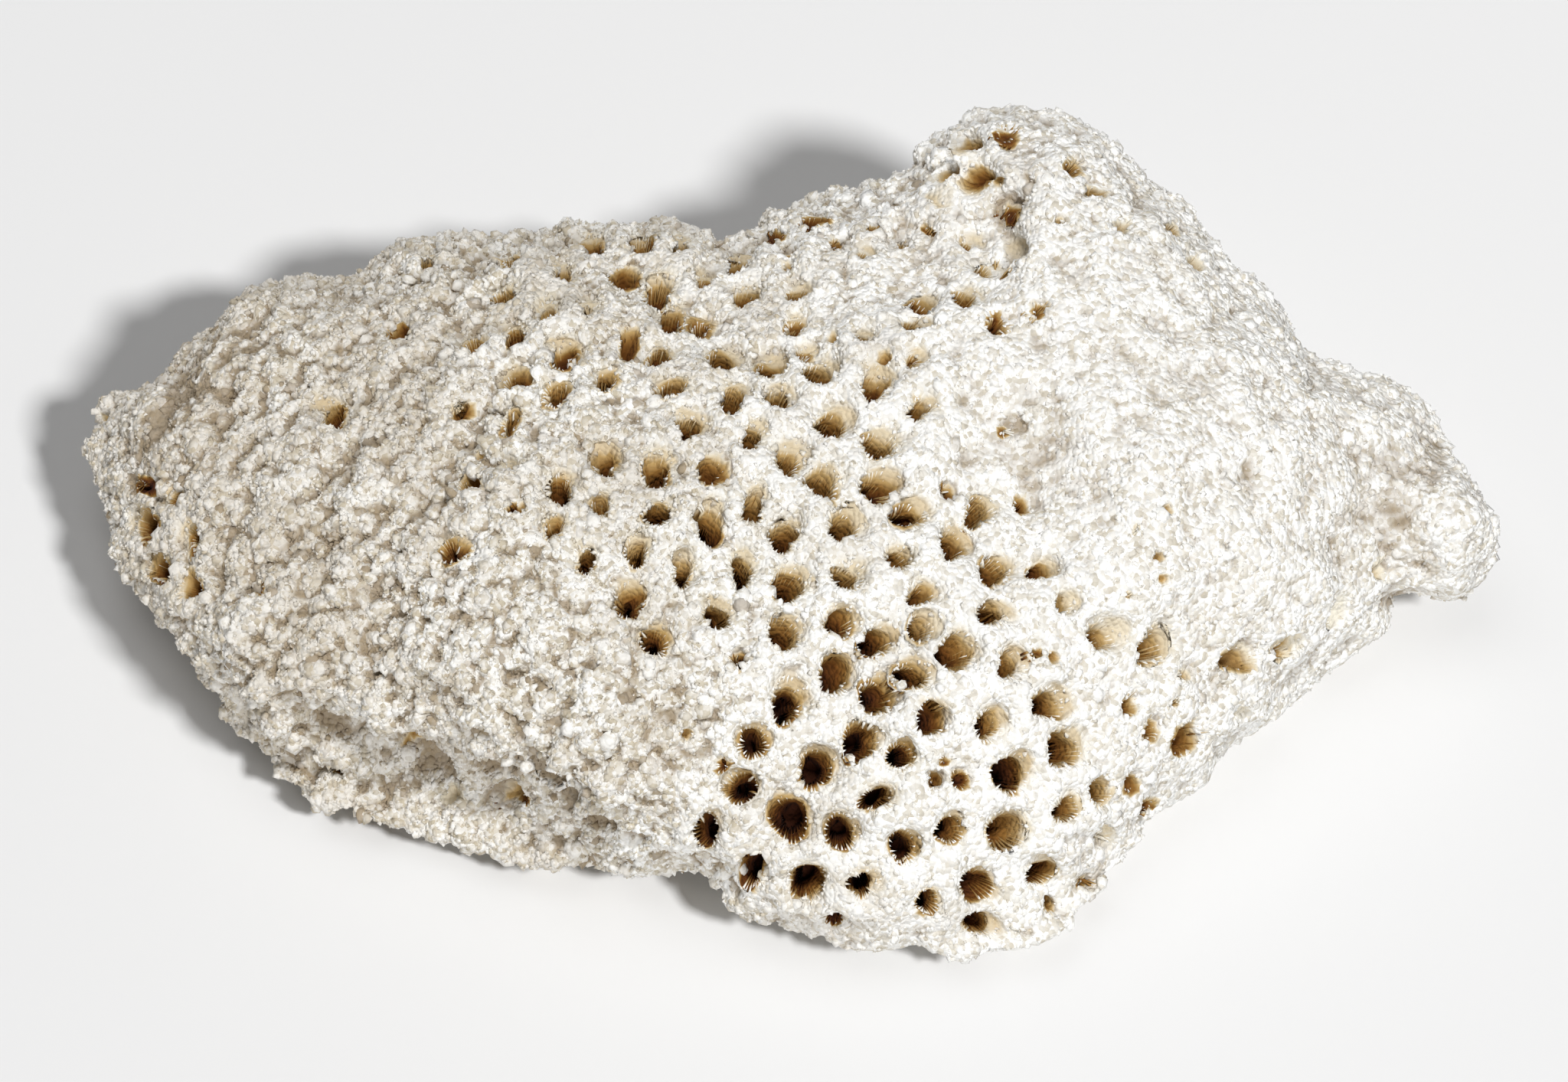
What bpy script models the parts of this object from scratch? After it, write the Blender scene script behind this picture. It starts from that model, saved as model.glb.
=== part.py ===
"""A loose lump of fossil coral, lying on its broken underside.

The coral grew, and was turned to stone, as one piece, so it is one solid. A band of calices, the
mouths of the tubes that the coral animals lived in, runs over its upper side. All the tubes spread
from the place where the colony began, so each of them runs in towards that place.

The upper side is laid out as it is seen: an outline, spot heights as on a map, ledges, and the
calices, each given by where it shows in the picture. The underside is a wall that curves in from
the outline to a flat break, which the coral rests on, with the ends of more tubes in it.

Places in the picture are pixels, counted from its top left. Lengths are millimetres until the last
step, which makes the mesh in metres.
"""

import math

import bmesh
import bpy
import numpy as np
from mathutils import Vector, noise
from mathutils.geometry import delaunay_2d_cdt

# Driving dimensions
LENGTH = 120.0  # over the two ends, as they show in the picture
METRES = 0.001
TINY = 1e-6
ROUNDING = 1e-4  # what a place in millimetres may be off by

# The place that the coral is seen from
EYE_ELEVATION = math.radians(55.0)
EYE_DISTANCE = 500.0
PICTURE_MIDDLE = (1024.0, 706.5)
LEFT_END = 122.0
RIGHT_END = 1962.0
MM_PER_PIXEL = LENGTH / (RIGHT_END - LEFT_END)
END_HEIGHT = 10.0  # of the two ends above the table, where the picture's scale holds

# The outline, clockwise in the picture from the left end
OUTLINE = [
    (122, 575), (129, 525), (173, 504), (205, 496), (245, 445), (284, 412), (303, 387), (349, 366),
    (402, 359), (444, 366), (494, 332), (526, 316), (558, 308), (600, 303), (650, 306), (688, 303),
    (742, 287), (772, 289), (814, 284), (860, 275), (902, 288), (928, 309), (944, 319), (967, 311),
    (996, 305), (1003, 281), (1034, 266), (1068, 251), (1119, 243), (1169, 233), (1192, 208),
    (1205, 183), (1238, 164), (1276, 145), (1330, 144), (1398, 152), (1437, 179), (1483, 210),
    (1506, 242), (1552, 269), (1578, 311), (1605, 334), (1647, 365), (1668, 396), (1686, 434),
    (1731, 471), (1782, 486), (1833, 502), (1859, 532), (1889, 573), (1940, 635), (1962, 682),
    (1954, 718), (1946, 759), (1926, 784), (1897, 795), (1862, 787), (1822, 789), (1819, 819),
    (1762, 859), (1737, 874), (1717, 899), (1688, 909), (1678, 939), (1623, 973), (1598, 993),
    (1588, 1018), (1528, 1058), (1503, 1074), (1503, 1098), (1459, 1128), (1454, 1157), (1414, 1182),
    (1409, 1207), (1384, 1227), (1339, 1237), (1300, 1247), (1265, 1252), (1220, 1247), (1198, 1238),
    (1140, 1240), (1102, 1234), (1067, 1215), (1006, 1207), (954, 1199), (945, 1157), (914, 1146),
    (888, 1133), (865, 1144), (826, 1140), (800, 1134), (777, 1120), (731, 1132), (680, 1121),
    (636, 1110), (600, 1101), (546, 1072), (511, 1067), (479, 1074), (444, 1058), (413, 1047),
    (377, 1021), (323, 971), (310, 936), (308, 909), (252, 864), (216, 829), (169, 770), (154, 743),
    (138, 655), (123, 612),
]  # fmt: skip

# Spot heights above the table. The height between them follows a bent sheet.
SPOT_HEIGHTS = [
    (150, 560, 14), (180, 700, 13), (300, 440, 19), (290, 600, 20), (280, 780, 17), (360, 900, 16),
    (450, 400, 21), (430, 560, 23), (460, 740, 22), (450, 880, 18), (460, 1010, 9), (600, 340, 23),
    (600, 470, 26), (600, 640, 27), (600, 800, 25), (600, 930, 20), (620, 1060, 9), (800, 320, 24),
    (800, 480, 28), (800, 680, 28), (800, 860, 24), (800, 1000, 19), (820, 1100, 12), (980, 350, 25),
    (1000, 500, 28), (1000, 700, 27), (1000, 850, 24), (1000, 1000, 19), (1000, 1150, 11),
    (1150, 280, 26), (1200, 420, 29), (1200, 640, 28), (1200, 800, 25.5), (1200, 960, 20.5),
    (1200, 1110, 14), (1240, 1215, 8), (1320, 180, 31), (1430, 240, 30), (1400, 340, 30),
    (1340, 520, 28.5), (1340, 640, 25.5), (1450, 560, 29), (1400, 760, 25), (1400, 900, 20.5),
    (1400, 1020, 15), (1380, 1150, 9), (1560, 330, 27), (1600, 480, 27), (1600, 620, 26),
    (1590, 740, 23), (1590, 850, 17), (1540, 980, 12), (1690, 480, 24), (1720, 620, 22),
    (1720, 760, 16), (1810, 620, 17), (1800, 740, 13), (1850, 560, 19), (1890, 660, 18),
    (1900, 740, 13),
]  # fmt: skip
EDGE_ROUND = 75.0  # how far in from the outline its rounding starts, in pixels
EDGE_DROP = 5.5  # how far the rounding falls
LOWEST_EDGE = 4.5

# Ledges, where a layer of the skeleton ends and the one under it shows. The lower layer is on the
# right of the direction that the points run in, seen from above in the picture.
FRONT_LEDGE = [
    (296, 905), (380, 925), (457, 937), (550, 955), (600, 988), (690, 1003), (740, 1040), (800, 1073),
    (880, 1092),
]  # fmt: skip
KNOB_LEDGE = [(1140, 232), (1200, 232), (1255, 250), (1300, 246), (1360, 252)]
SIDE_LEDGE = [(1260, 1120), (1320, 1128), (1390, 1118), (1440, 1066)]
LEDGES = [(FRONT_LEDGE, 3.2), (KNOB_LEDGE, 2.4), (SIDE_LEDGE, 1.6)]
LEDGE_RUN = 9.0  # how wide the step is, in pixels
LEDGE_REACH = 80.0  # how far from the step the lower layer starts to come back up
LEDGE_ENDS = 0.17  # the share of a ledge, at each end, over which it fades in

# Calices, as the place in the picture, the width and the height, from the back edge to the front
CALICES = [
    (558, 331, 30, 18), (665, 332, 30, 22), (771, 313, 32, 30), (840, 310, 27, 33), (889, 316, 30, 36),
    (731, 351, 34, 26), (658, 379, 38, 24), (716, 402, 32, 31), (771, 400, 27, 28), (860, 372, 42, 38),
    (921, 362, 22, 25), (969, 338, 30, 26), (972, 381, 36, 27), (1043, 379, 26, 23),
    (1128, 332, 28, 18), (1182, 319, 22, 16), (1267, 315, 28, 20), (1327, 329, 32, 24),
    (1288, 352, 34, 18), (1206, 389, 38, 22), (1266, 384, 38, 20), (1364, 397, 24, 20),
    (1195, 420, 38, 22), (671, 432, 40, 30), (621, 451, 32, 33), (735, 453, 40, 31),
    (877, 412, 40, 38), (921, 420, 26, 23), (861, 461, 38, 22), (942, 463, 38, 28),
    (1040, 421, 24, 28), (1052, 454, 24, 18), (1125, 443, 28, 22), (1008, 472, 34, 34),
    (1074, 482, 38, 32), (1145, 498, 36, 46), (1198, 465, 26, 26), (672, 486, 34, 24),
    (726, 507, 38, 33), (788, 492, 36, 28), (877, 502, 42, 26), (957, 513, 34, 38),
    (1021, 517, 36, 36), (1206, 534, 38, 34), (433, 537, 34, 28), (667, 547, 30, 34),
    (897, 550, 46, 34), (986, 567, 33, 38), (1088, 550, 46, 38), (1152, 575, 42, 30),
    (1320, 553, 28, 20), (668, 611, 32, 28), (612, 632, 26, 22), (731, 635, 40, 40),
    (794, 597, 36, 46), (858, 610, 38, 46), (1029, 597, 40, 42), (1077, 627, 38, 46),
    (1152, 629, 42, 38), (786, 663, 32, 30), (860, 669, 38, 32), (927, 680, 34, 52),
    (985, 659, 34, 52), (1103, 686, 44, 50), (1196, 668, 44, 34), (1283, 666, 34, 36),
    (724, 690, 36, 26), (1029, 699, 38, 40), (590, 714, 32, 32), (765, 731, 32, 46),
    (832, 718, 30, 44), (892, 745, 36, 46), (970, 742, 36, 44), (1033, 764, 42, 46),
    (1111, 753, 44, 42), (1175, 728, 36, 38), (1247, 711, 34, 50), (1304, 745, 42, 34),
    (1362, 741, 28, 22), (1204, 775, 38, 30), (1390, 784, 32, 26), (823, 779, 44, 44),
    (935, 803, 44, 38), (1098, 811, 42, 38), (1207, 816, 38, 32), (1299, 803, 46, 34),
    (1025, 828, 44, 42), (856, 838, 36, 40), (1150, 838, 40, 46), (1254, 852, 38, 54),
    (1318, 868, 46, 42), (1446, 828, 42, 38), (1512, 841, 40, 40), (1092, 880, 38, 52),
    (1199, 882, 40, 40), (1151, 907, 38, 48), (1032, 917, 40, 60), (1217, 936, 40, 46),
    (1372, 917, 50, 38), (1292, 947, 38, 38), (1125, 969, 46, 46), (984, 971, 38, 40),
    (1178, 989, 34, 38), (1394, 979, 46, 50), (1061, 1008, 46, 46), (963, 1031, 40, 34),
    (1145, 1043, 46, 40), (1220, 1024, 20, 26), (1322, 1012, 48, 46), (1393, 1058, 36, 34),
    (1443, 1038, 28, 32), (925, 1088, 34, 42), (1030, 1073, 42, 52), (1099, 1091, 34, 44),
    (1181, 1112, 32, 44), (1241, 1088, 32, 40), (1317, 1091, 48, 46), (1447, 1093, 28, 26),
    (983, 1140, 32, 46), (1052, 1157, 40, 44), (1128, 1158, 40, 44), (1212, 1184, 30, 36),
    (1277, 1156, 38, 34), (1358, 1144, 38, 32), (1278, 1209, 38, 20), (1335, 1216, 22, 12),
    (1370, 1182, 18, 24), (1258, 189, 38, 36), (1242, 222, 26, 20), (1752, 797, 24, 34),
    (1884, 752, 36, 36), (1690, 846, 32, 18), (335, 764, 22, 18), (180, 682, 32, 42),
    (224, 651, 24, 24), (241, 700, 22, 36), (196, 744, 36, 32), (240, 768, 32, 34),
    (1623, 934, 22, 18),
]  # fmt: skip

# Calices that are worn down or filled, so that only a cup is left, in the same order
CUPS = [
    (812, 352, 36, 34), (1067, 281, 32, 20), (1020, 297, 24, 20), (1036, 327, 24, 16),
    (1093, 307, 20, 16), (1142, 292, 18, 14), (1220, 298, 24, 16), (1308, 418, 32, 26),
    (515, 431, 30, 22), (818, 438, 33, 34), (597, 530, 30, 30), (929, 609, 42, 42),
    (1279, 231, 26, 20), (1321, 167, 28, 20), (1405, 210, 28, 20), (1438, 243, 28, 18),
    (1324, 271, 26, 18), (1469, 289, 22, 16), (1534, 290, 26, 18), (1562, 338, 26, 24),
    (1238, 634, 18, 18), (1339, 657, 22, 30), (964, 865, 30, 26), (1360, 848, 20, 18),
    (1254, 1019, 22, 24), (1483, 918, 24, 32), (1535, 910, 14, 20), (1510, 952, 16, 34),
    (1557, 958, 40, 48), (1487, 1022, 16, 26), (1508, 1050, 24, 18), (1418, 1151, 24, 14),
    (1633, 856, 48, 28), (1550, 877, 22, 20), (1810, 738, 22, 42), (1480, 770, 16, 22),
    (1490, 690, 14, 16), (667, 1042, 42, 32), (591, 1036, 38, 28), (437, 1012, 22, 18),
    (520, 985, 18, 16), (945, 999, 24, 20), (1090, 1196, 24, 16), (176, 626, 26, 20),
    (662, 660, 20, 14), (1238, 992, 22, 16),
]  # fmt: skip

CALICE_SIDES = 7
MOST_TURN = 51  # degrees, about one side of a calice
TUBE_DEPTH = 5.0
TUBE_TAPER = 0.62  # a tube's floor, as a share of its mouth
CUP_DEPTH = 1.4
CUP_TAPER = 0.55
DEEPEST_BY_WIDTH = 1.9  # a narrow tube is at most this many times deeper than it is wide

# Where the colony began: behind this place in the picture, this far under the surface
FACING_CALICE = (1050.0, 1000.0)
GROWTH_DEPTH = 40.0

# The upper side's own points, in the rows between the calices
POINT_SPACING = 44.0  # in pixels
CALICE_MARGIN = 14.0
EDGE_MARGIN = 26.0
LUMP_SIZE = 9.0
LUMP_RISE = 0.8
LUMP_ROUGHNESS, LUMP_STEP, LUMP_LAYERS = 0.8, 2.1, 3

# The flat break underneath, and the wall that runs out and up from it to the outline
BREAK_SHARE = 0.72  # of the way from its middle to the outline
BREAK_RAGGEDNESS = 0.07
BREAK_RAGS = 2.2
RIM_STEP = 2  # degrees
RIM_SOFTENING = 10  # degrees to each side
WALL_LUMP_RISE = 1.6
TALL_WALL = 16.0  # a wall this tall or taller has its full lumps
UNDER_SPACING = 4.6
UNDER_EDGE_MARGIN = 1.9
UNDER_CALICE_MARGIN = 1.2
UNDER_CALICE = 2.0
UNDER_CALICE_VARIATION = 1.2
UNDER_CALICE_SPACING = 6.5
UNDER_SCATTER = 3.0
PATCH_SIZE = 22.0
PATCH_LEVEL = -0.04
MIDDLE_CLEAR = 9.0  # no calice comes this near to the middle of the break
SEED = 7

STONE_COLOUR = (0.86, 0.82, 0.72, 1.0)
STONE_ROUGHNESS = 0.9

RIGHT = Vector((1.0, 0.0, 0.0))
UPWARD = Vector((0.0, math.sin(EYE_ELEVATION), math.cos(EYE_ELEVATION)))
AHEAD = Vector((0.0, math.cos(EYE_ELEVATION), -math.sin(EYE_ELEVATION)))
EYE = Vector((0.0, 0.0, END_HEIGHT)) - AHEAD * EYE_DISTANCE


def seen_at(x, y, height):
    """The point at this height that shows at this place in the picture."""
    across = (x - PICTURE_MIDDLE[0]) * MM_PER_PIXEL
    up = (PICTURE_MIDDLE[1] - y) * MM_PER_PIXEL
    ray = AHEAD * EYE_DISTANCE + RIGHT * across + UPWARD * up
    return EYE + ray * ((height - EYE.z) / ray.z)


def bent_sheet(spots):
    """A function that gives every spot its height, and bends as little as it can in between."""
    places = np.array([spot[:2] for spot in spots], float)
    heights = np.array([spot[2] for spot in spots], float)

    def bend(distance):
        return distance**2 * np.log(distance + TINY)

    gaps = np.linalg.norm(places[:, None] - places[None], axis=2)
    plane = np.column_stack([np.ones(len(spots)), places])
    system = np.block([[bend(gaps), plane], [plane.T, np.zeros((3, 3))]])
    weights = np.linalg.solve(system, np.append(heights, (0, 0, 0)))

    def height(x, y):
        distances = np.hypot(places[:, 0] - x, places[:, 1] - y)
        return bend(distances) @ weights[:-3] + weights[-3:] @ (1.0, x, y)

    return height


SHEET = bent_sheet(SPOT_HEIGHTS)


def to_line(x, y, points, closed=False):
    """The distance to a line of points, how far along it that is, and on which side of it."""
    nearest = (math.inf, 0.0, 1.0)
    ends = points[1:] + points[:1] if closed else points[1:]
    for number, (a, b) in enumerate(zip(points, ends)):
        run = (b[0] - a[0], b[1] - a[1])
        share = ((x - a[0]) * run[0] + (y - a[1]) * run[1]) / (run[0] ** 2 + run[1] ** 2)
        share = min(1.0, max(0.0, share))
        away = (x - a[0] - share * run[0], y - a[1] - share * run[1])
        distance = math.hypot(*away)
        if distance < nearest[0]:
            side = math.copysign(1.0, run[0] * away[1] - run[1] * away[0])
            nearest = (distance, (number + share) / len(ends), side)
    return nearest


def smooth_step(value):
    value = min(1.0, max(0.0, value))
    return value * value * (3.0 - 2.0 * value)


def below_ledge(x, y, ledge, drop):
    """How far the surface is down past a ledge, which fades out at its ends and past its reach."""
    distance, along, side = to_line(x, y, ledge)
    if side < 0.0:
        return 0.0
    fade = smooth_step(min(along, 1.0 - along) / LEDGE_ENDS)
    fade *= smooth_step(2.0 - distance / LEDGE_REACH)
    return drop * smooth_step(distance / LEDGE_RUN) * fade


def lump(point):
    """The lumps that the whole surface has, from about -1 to 1."""
    return noise.fractal(point / LUMP_SIZE, LUMP_ROUGHNESS, LUMP_STEP, LUMP_LAYERS)


def surface_height(x, y):
    """The height of the upper side that shows at this place in the picture."""
    height = SHEET(x, y) + LUMP_RISE * lump(Vector((x * MM_PER_PIXEL, y * MM_PER_PIXEL, SEED)))
    for ledge, drop in LEDGES:
        height -= below_ledge(x, y, ledge, drop)
    inside = to_line(x, y, OUTLINE, closed=True)[0] / EDGE_ROUND
    if inside < 1.0:
        height -= EDGE_DROP * (1.0 - math.sqrt(1.0 - (1.0 - inside) ** 2))
    return max(LOWEST_EDGE, height)


def on_surface(x, y):
    return seen_at(x, y, surface_height(x, y))


FACING_PLACE = on_surface(*FACING_CALICE)
GROWTH_CENTRE = FACING_PLACE + (FACING_PLACE - EYE).normalized() * GROWTH_DEPTH


def turned_left(ring):
    """The ring of places, counter-clockwise."""
    area = sum(a[0] * b[1] - b[0] * a[1] for a, b in zip(ring, ring[1:] + ring[:1]))
    return ring if area > 0 else ring[::-1]


def calice_ring(x, y, width, height):
    """The corners of a calice's mouth. Each calice is turned a little differently."""
    turn = math.radians((x * 7.0 + y * 3.0) % MOST_TURN)
    corners = []
    for number in range(CALICE_SIDES):
        angle = turn + math.tau * number / CALICE_SIDES
        corners.append((x + math.cos(angle) * width / 2, y + math.sin(angle) * height / 2))
    return turned_left(corners)


def holds(outline, x, y):
    """Whether the outline goes round the place."""
    inside = False
    for (ax, ay), (bx, by) in zip(outline, outline[1:] + outline[:1]):
        if (ay > y) != (by > y) and x < (bx - ax) * (y - ay) / (by - ay) + ax:
            inside = not inside
    return inside


def is_clear(x, y, calices, margin):
    """Whether the place is at least a margin away from every calice."""
    for middle_x, middle_y, width, height in calices:
        across = (x - middle_x) / (width / 2 + margin)
        up = (y - middle_y) / (height / 2 + margin)
        if across * across + up * up < 1.0:
            return False
    return True


def filling(outline, calices, spacing, edge_margin, calice_margin):
    """Places in offset rows that fill an outline around its calices."""
    left, low = (min(place[axis] for place in outline) for axis in range(2))
    right, high = (max(place[axis] for place in outline) for axis in range(2))
    row_spacing = spacing * math.sin(math.radians(60.0))
    places = []
    for row in range(int((high - low) / row_spacing) + 1):
        for column in range(int((right - left) / spacing) + 1):
            x = left + (column + 0.5 * (row % 2)) * spacing
            y = low + row * row_spacing
            if holds(outline, x, y) and to_line(x, y, outline, closed=True)[0] > edge_margin:
                if is_clear(x, y, calices, calice_margin):
                    places.append((x, y))
    return places


def add_sheet(mesh, outline, edge, calices, places, put):
    """Adds a sheet of triangles inside an outline, and returns the open ring of every calice.

    edge has the outline's vertices, which both sheets share. put turns a place in the sheet into
    a point of the coral.
    """
    rings = [calice_ring(*calice) for calice in calices]
    corners = [*outline, *(corner for ring in rings for corner in ring), *places]
    loops = [list(range(len(outline)))]
    for ring in rings:
        first = loops[-1][-1] + 1
        loops.append(list(range(first, first + len(ring))))
    made = delaunay_2d_cdt([Vector(corner) for corner in corners], [], loops, 1, TINY)
    spots, _, triangles, sources, _, holders = made
    vertices = []
    by_corner = {}
    for spot, source in zip(spots, sources):
        if source and source[0] < len(outline):
            vertex = edge[source[0]]
        else:
            vertex = mesh.verts.new(put(spot.x, spot.y))
        vertices.append(vertex)
        by_corner.update((corner, vertex) for corner in source)
    for triangle, holder in zip(triangles, holders):
        if holder == [0]:
            mesh.faces.new([vertices[number] for number in triangle])
    return [[by_corner[corner] for corner in loop] for loop in loops[1:]]


def middle_of(vertices):
    return sum((vertex.co for vertex in vertices), Vector()) / len(vertices)


def push_in(mesh, ring, axis, depth, taper):
    """Closes a calice's ring with a face, and pushes it in along the tube to be a flat floor."""
    centre = middle_of(ring)
    radius = sum((vertex.co - centre).length for vertex in ring) / len(ring)
    lowest_corner = min((vertex.co - centre) @ axis for vertex in ring)
    level = min(-min(depth, DEEPEST_BY_WIDTH * 2.0 * radius), lowest_corner - CUP_DEPTH / 2.0)
    mouth = mesh.faces.new(ring)
    floor = bmesh.ops.extrude_discrete_faces(mesh, faces=[mouth])["faces"][0]
    for vertex in floor.verts:
        out = vertex.co - centre
        out -= axis * (out @ axis)
        vertex.co = centre + axis * level + out * taper


def add_upper_side(mesh):
    """Adds the upper side, and returns the outline's vertices, clockwise from above."""
    outline = turned_left(OUTLINE)
    edge = [mesh.verts.new(on_surface(x, y)) for x, y in outline]
    calices = CALICES + CUPS
    places = filling(outline, calices, POINT_SPACING, EDGE_MARGIN, CALICE_MARGIN)
    rings = add_sheet(mesh, outline, edge, calices, places, on_surface)
    for number, ring in enumerate(rings):
        axis = (middle_of(ring) - GROWTH_CENTRE).normalized()
        if number < len(CALICES):
            push_in(mesh, ring, axis, TUBE_DEPTH, TUBE_TAPER)
        else:
            push_in(mesh, ring, axis, CUP_DEPTH, CUP_TAPER)
    return edge


class Rim:
    """The outline from above: how far out it is and how high, at every bearing from its middle."""

    def __init__(self, edge):
        places = np.array([vertex.co[:] for vertex in edge])
        self.middle = (places.min(axis=0) + places.max(axis=0))[:2] / 2.0
        out = places[:, :2] - self.middle
        bearings = np.arctan2(out[:, 1], out[:, 0])
        order = np.argsort(bearings)
        self.steps = np.radians(np.arange(0, 360, RIM_STEP))
        self.sharp = []
        self.soft = []
        for values in (np.hypot(out[:, 0], out[:, 1]), places[:, 2]):
            even = np.interp(self.steps, bearings[order], values[order], period=math.tau)
            near = range(-RIM_SOFTENING, RIM_SOFTENING + 1, RIM_STEP)
            self.sharp.append(even)
            self.soft.append(np.mean([np.roll(even, shift // RIM_STEP) for shift in near], axis=0))

    def at(self, bearing, sharpness=1.0):
        """The reach and the height of the rim, from softened ones to the rim's own."""
        found = []
        for sharp, soft in zip(self.sharp, self.soft):
            values = soft + (sharp - soft) * sharpness
            found.append(float(np.interp(bearing, self.steps, values, period=math.tau)))
        return found

    def break_reach(self, bearing):
        ragged = noise.noise(Vector((math.cos(bearing), math.sin(bearing), SEED)) * BREAK_RAGS)
        return (BREAK_SHARE + BREAK_RAGGEDNESS * ragged) * self.at(bearing, 0.0)[0]

    def unrolled(self, reach, height, bearing):
        """The reach in a plan where the wall is laid out flat around the break."""
        start = self.break_reach(bearing)
        return start + math.hypot(reach - start, height)

    def polar(self, x, y):
        return math.atan2(y - self.middle[1], x - self.middle[0]), math.dist((x, y), self.middle)

    def place(self, bearing, reach):
        return (self.middle[0] + math.cos(bearing) * reach, self.middle[1] + math.sin(bearing) * reach)

    def under_point(self, x, y):
        """The point of the underside at this place of the laid-out plan."""
        bearing, out = self.polar(x, y)
        start = self.break_reach(bearing)
        if out < start + ROUNDING:
            return Vector((x, y, 0.0))
        climb = min(1.0, (out - start) / (self.unrolled(*self.at(bearing), bearing) - start))
        reach, height = self.at(bearing, climb**2)
        level = start + (reach - start) * climb * (2.0 - climb)
        outward = Vector((math.cos(bearing), math.sin(bearing), 0.0))
        spot = Vector((*self.place(bearing, level), height * climb))
        swing = WALL_LUMP_RISE * min(1.0, height / TALL_WALL) * math.sin(math.pi * climb)
        return spot + outward * lump(spot) * swing


def under_calices(rim, outline, break_edge):
    """Calices in patches over the underside, off the break's edge and clear of its middle."""
    calices = []
    for x, y in filling(outline, [], UNDER_CALICE_SPACING, UNDER_EDGE_MARGIN, 0.0):
        chance = noise.cell_vector(Vector((x, y, SEED)))
        spot = (x + (chance.x - 0.5) * UNDER_SCATTER, y + (chance.y - 0.5) * UNDER_SCATTER)
        size = UNDER_CALICE + UNDER_CALICE_VARIATION * chance.z
        off_edges = min(to_line(*spot, edge, closed=True)[0] for edge in (break_edge, outline))
        in_patch = noise.noise(Vector((*spot, SEED)) / PATCH_SIZE) > PATCH_LEVEL
        if in_patch and off_edges > size and rim.polar(*spot)[1] > MIDDLE_CLEAR:
            calices.append((*spot, size, size))
    return calices


def add_underside(mesh, edge):
    """Adds the wall that curves in from the outline, and the flat break that it ends at."""
    edge = edge[::-1]
    rim = Rim(edge)
    outline = []
    break_edge = []
    for vertex in edge:
        bearing, reach = rim.polar(vertex.co.x, vertex.co.y)
        outline.append(rim.place(bearing, rim.unrolled(reach, vertex.co.z, bearing)))
        break_edge.append(rim.place(bearing, rim.break_reach(bearing)))
    calices = under_calices(rim, outline, break_edge)
    places = filling(outline, calices, UNDER_SPACING, UNDER_EDGE_MARGIN, UNDER_CALICE_MARGIN)
    places = [p for p in places if to_line(*p, break_edge, closed=True)[0] > UNDER_EDGE_MARGIN]
    for ring in add_sheet(mesh, outline, edge, calices, places + break_edge, rim.under_point):
        if max(vertex.co.z for vertex in ring) < TINY:
            axis = Vector((0.0, 0.0, -1.0))
        else:
            axis = (middle_of(ring) - GROWTH_CENTRE).normalized()
            axis = Vector((axis.x, axis.y, min(axis.z, 0.0))).normalized()
        push_in(mesh, ring, axis, CUP_DEPTH, CUP_TAPER)


def stone():
    material = bpy.data.materials.new("coral_stone")
    material.use_nodes = True
    shader = material.node_tree.nodes["Principled BSDF"]
    shader.inputs["Base Color"].default_value = STONE_COLOUR
    shader.inputs["Roughness"].default_value = STONE_ROUGHNESS
    shader.inputs["Metallic"].default_value = 0.0
    return material


def coral():
    """The whole coral, with its origin under the middle of its box, at the table."""
    mesh = bmesh.new()
    add_underside(mesh, add_upper_side(mesh))
    bmesh.ops.recalc_face_normals(mesh, faces=mesh.faces)
    lows = [min(vertex.co[axis] for vertex in mesh.verts) for axis in range(3)]
    highs = [max(vertex.co[axis] for vertex in mesh.verts) for axis in range(3)]
    origin = Vector(((lows[0] + highs[0]) / 2.0, (lows[1] + highs[1]) / 2.0, lows[2]))
    for vertex in mesh.verts:
        vertex.co = (vertex.co - origin) * METRES
    print("origin", [round(value, 3) for value in origin])
    data = bpy.data.meshes.new("coral")
    mesh.to_mesh(data)
    mesh.free()
    data.materials.append(stone())
    body = bpy.data.objects.new("coral", data)
    bpy.context.scene.collection.objects.link(body)


def main():
    for thing in list(bpy.data.objects):
        bpy.data.objects.remove(thing)
    coral()


main()
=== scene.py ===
# %% [markdown]
# ## A lump of fossil coral
#
# This notebook dresses the solid model of a loose lump of fossil coral. The solid has the right
# outline, domes, ledges and calices, which are the round mouths of the coral's tubes. What it lacks
# is everything finer than about three millimetres: the ribs in each tube, the sugary grain of the
# stone, and the colour. Each of them gets a step of its own below.

# %% Load the solid model

import math
import time

import bmesh
import bpy
import numpy as np
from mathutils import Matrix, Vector, noise
from mathutils.bvhtree import BVHTree
from mathutils.kdtree import KDTree


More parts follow.
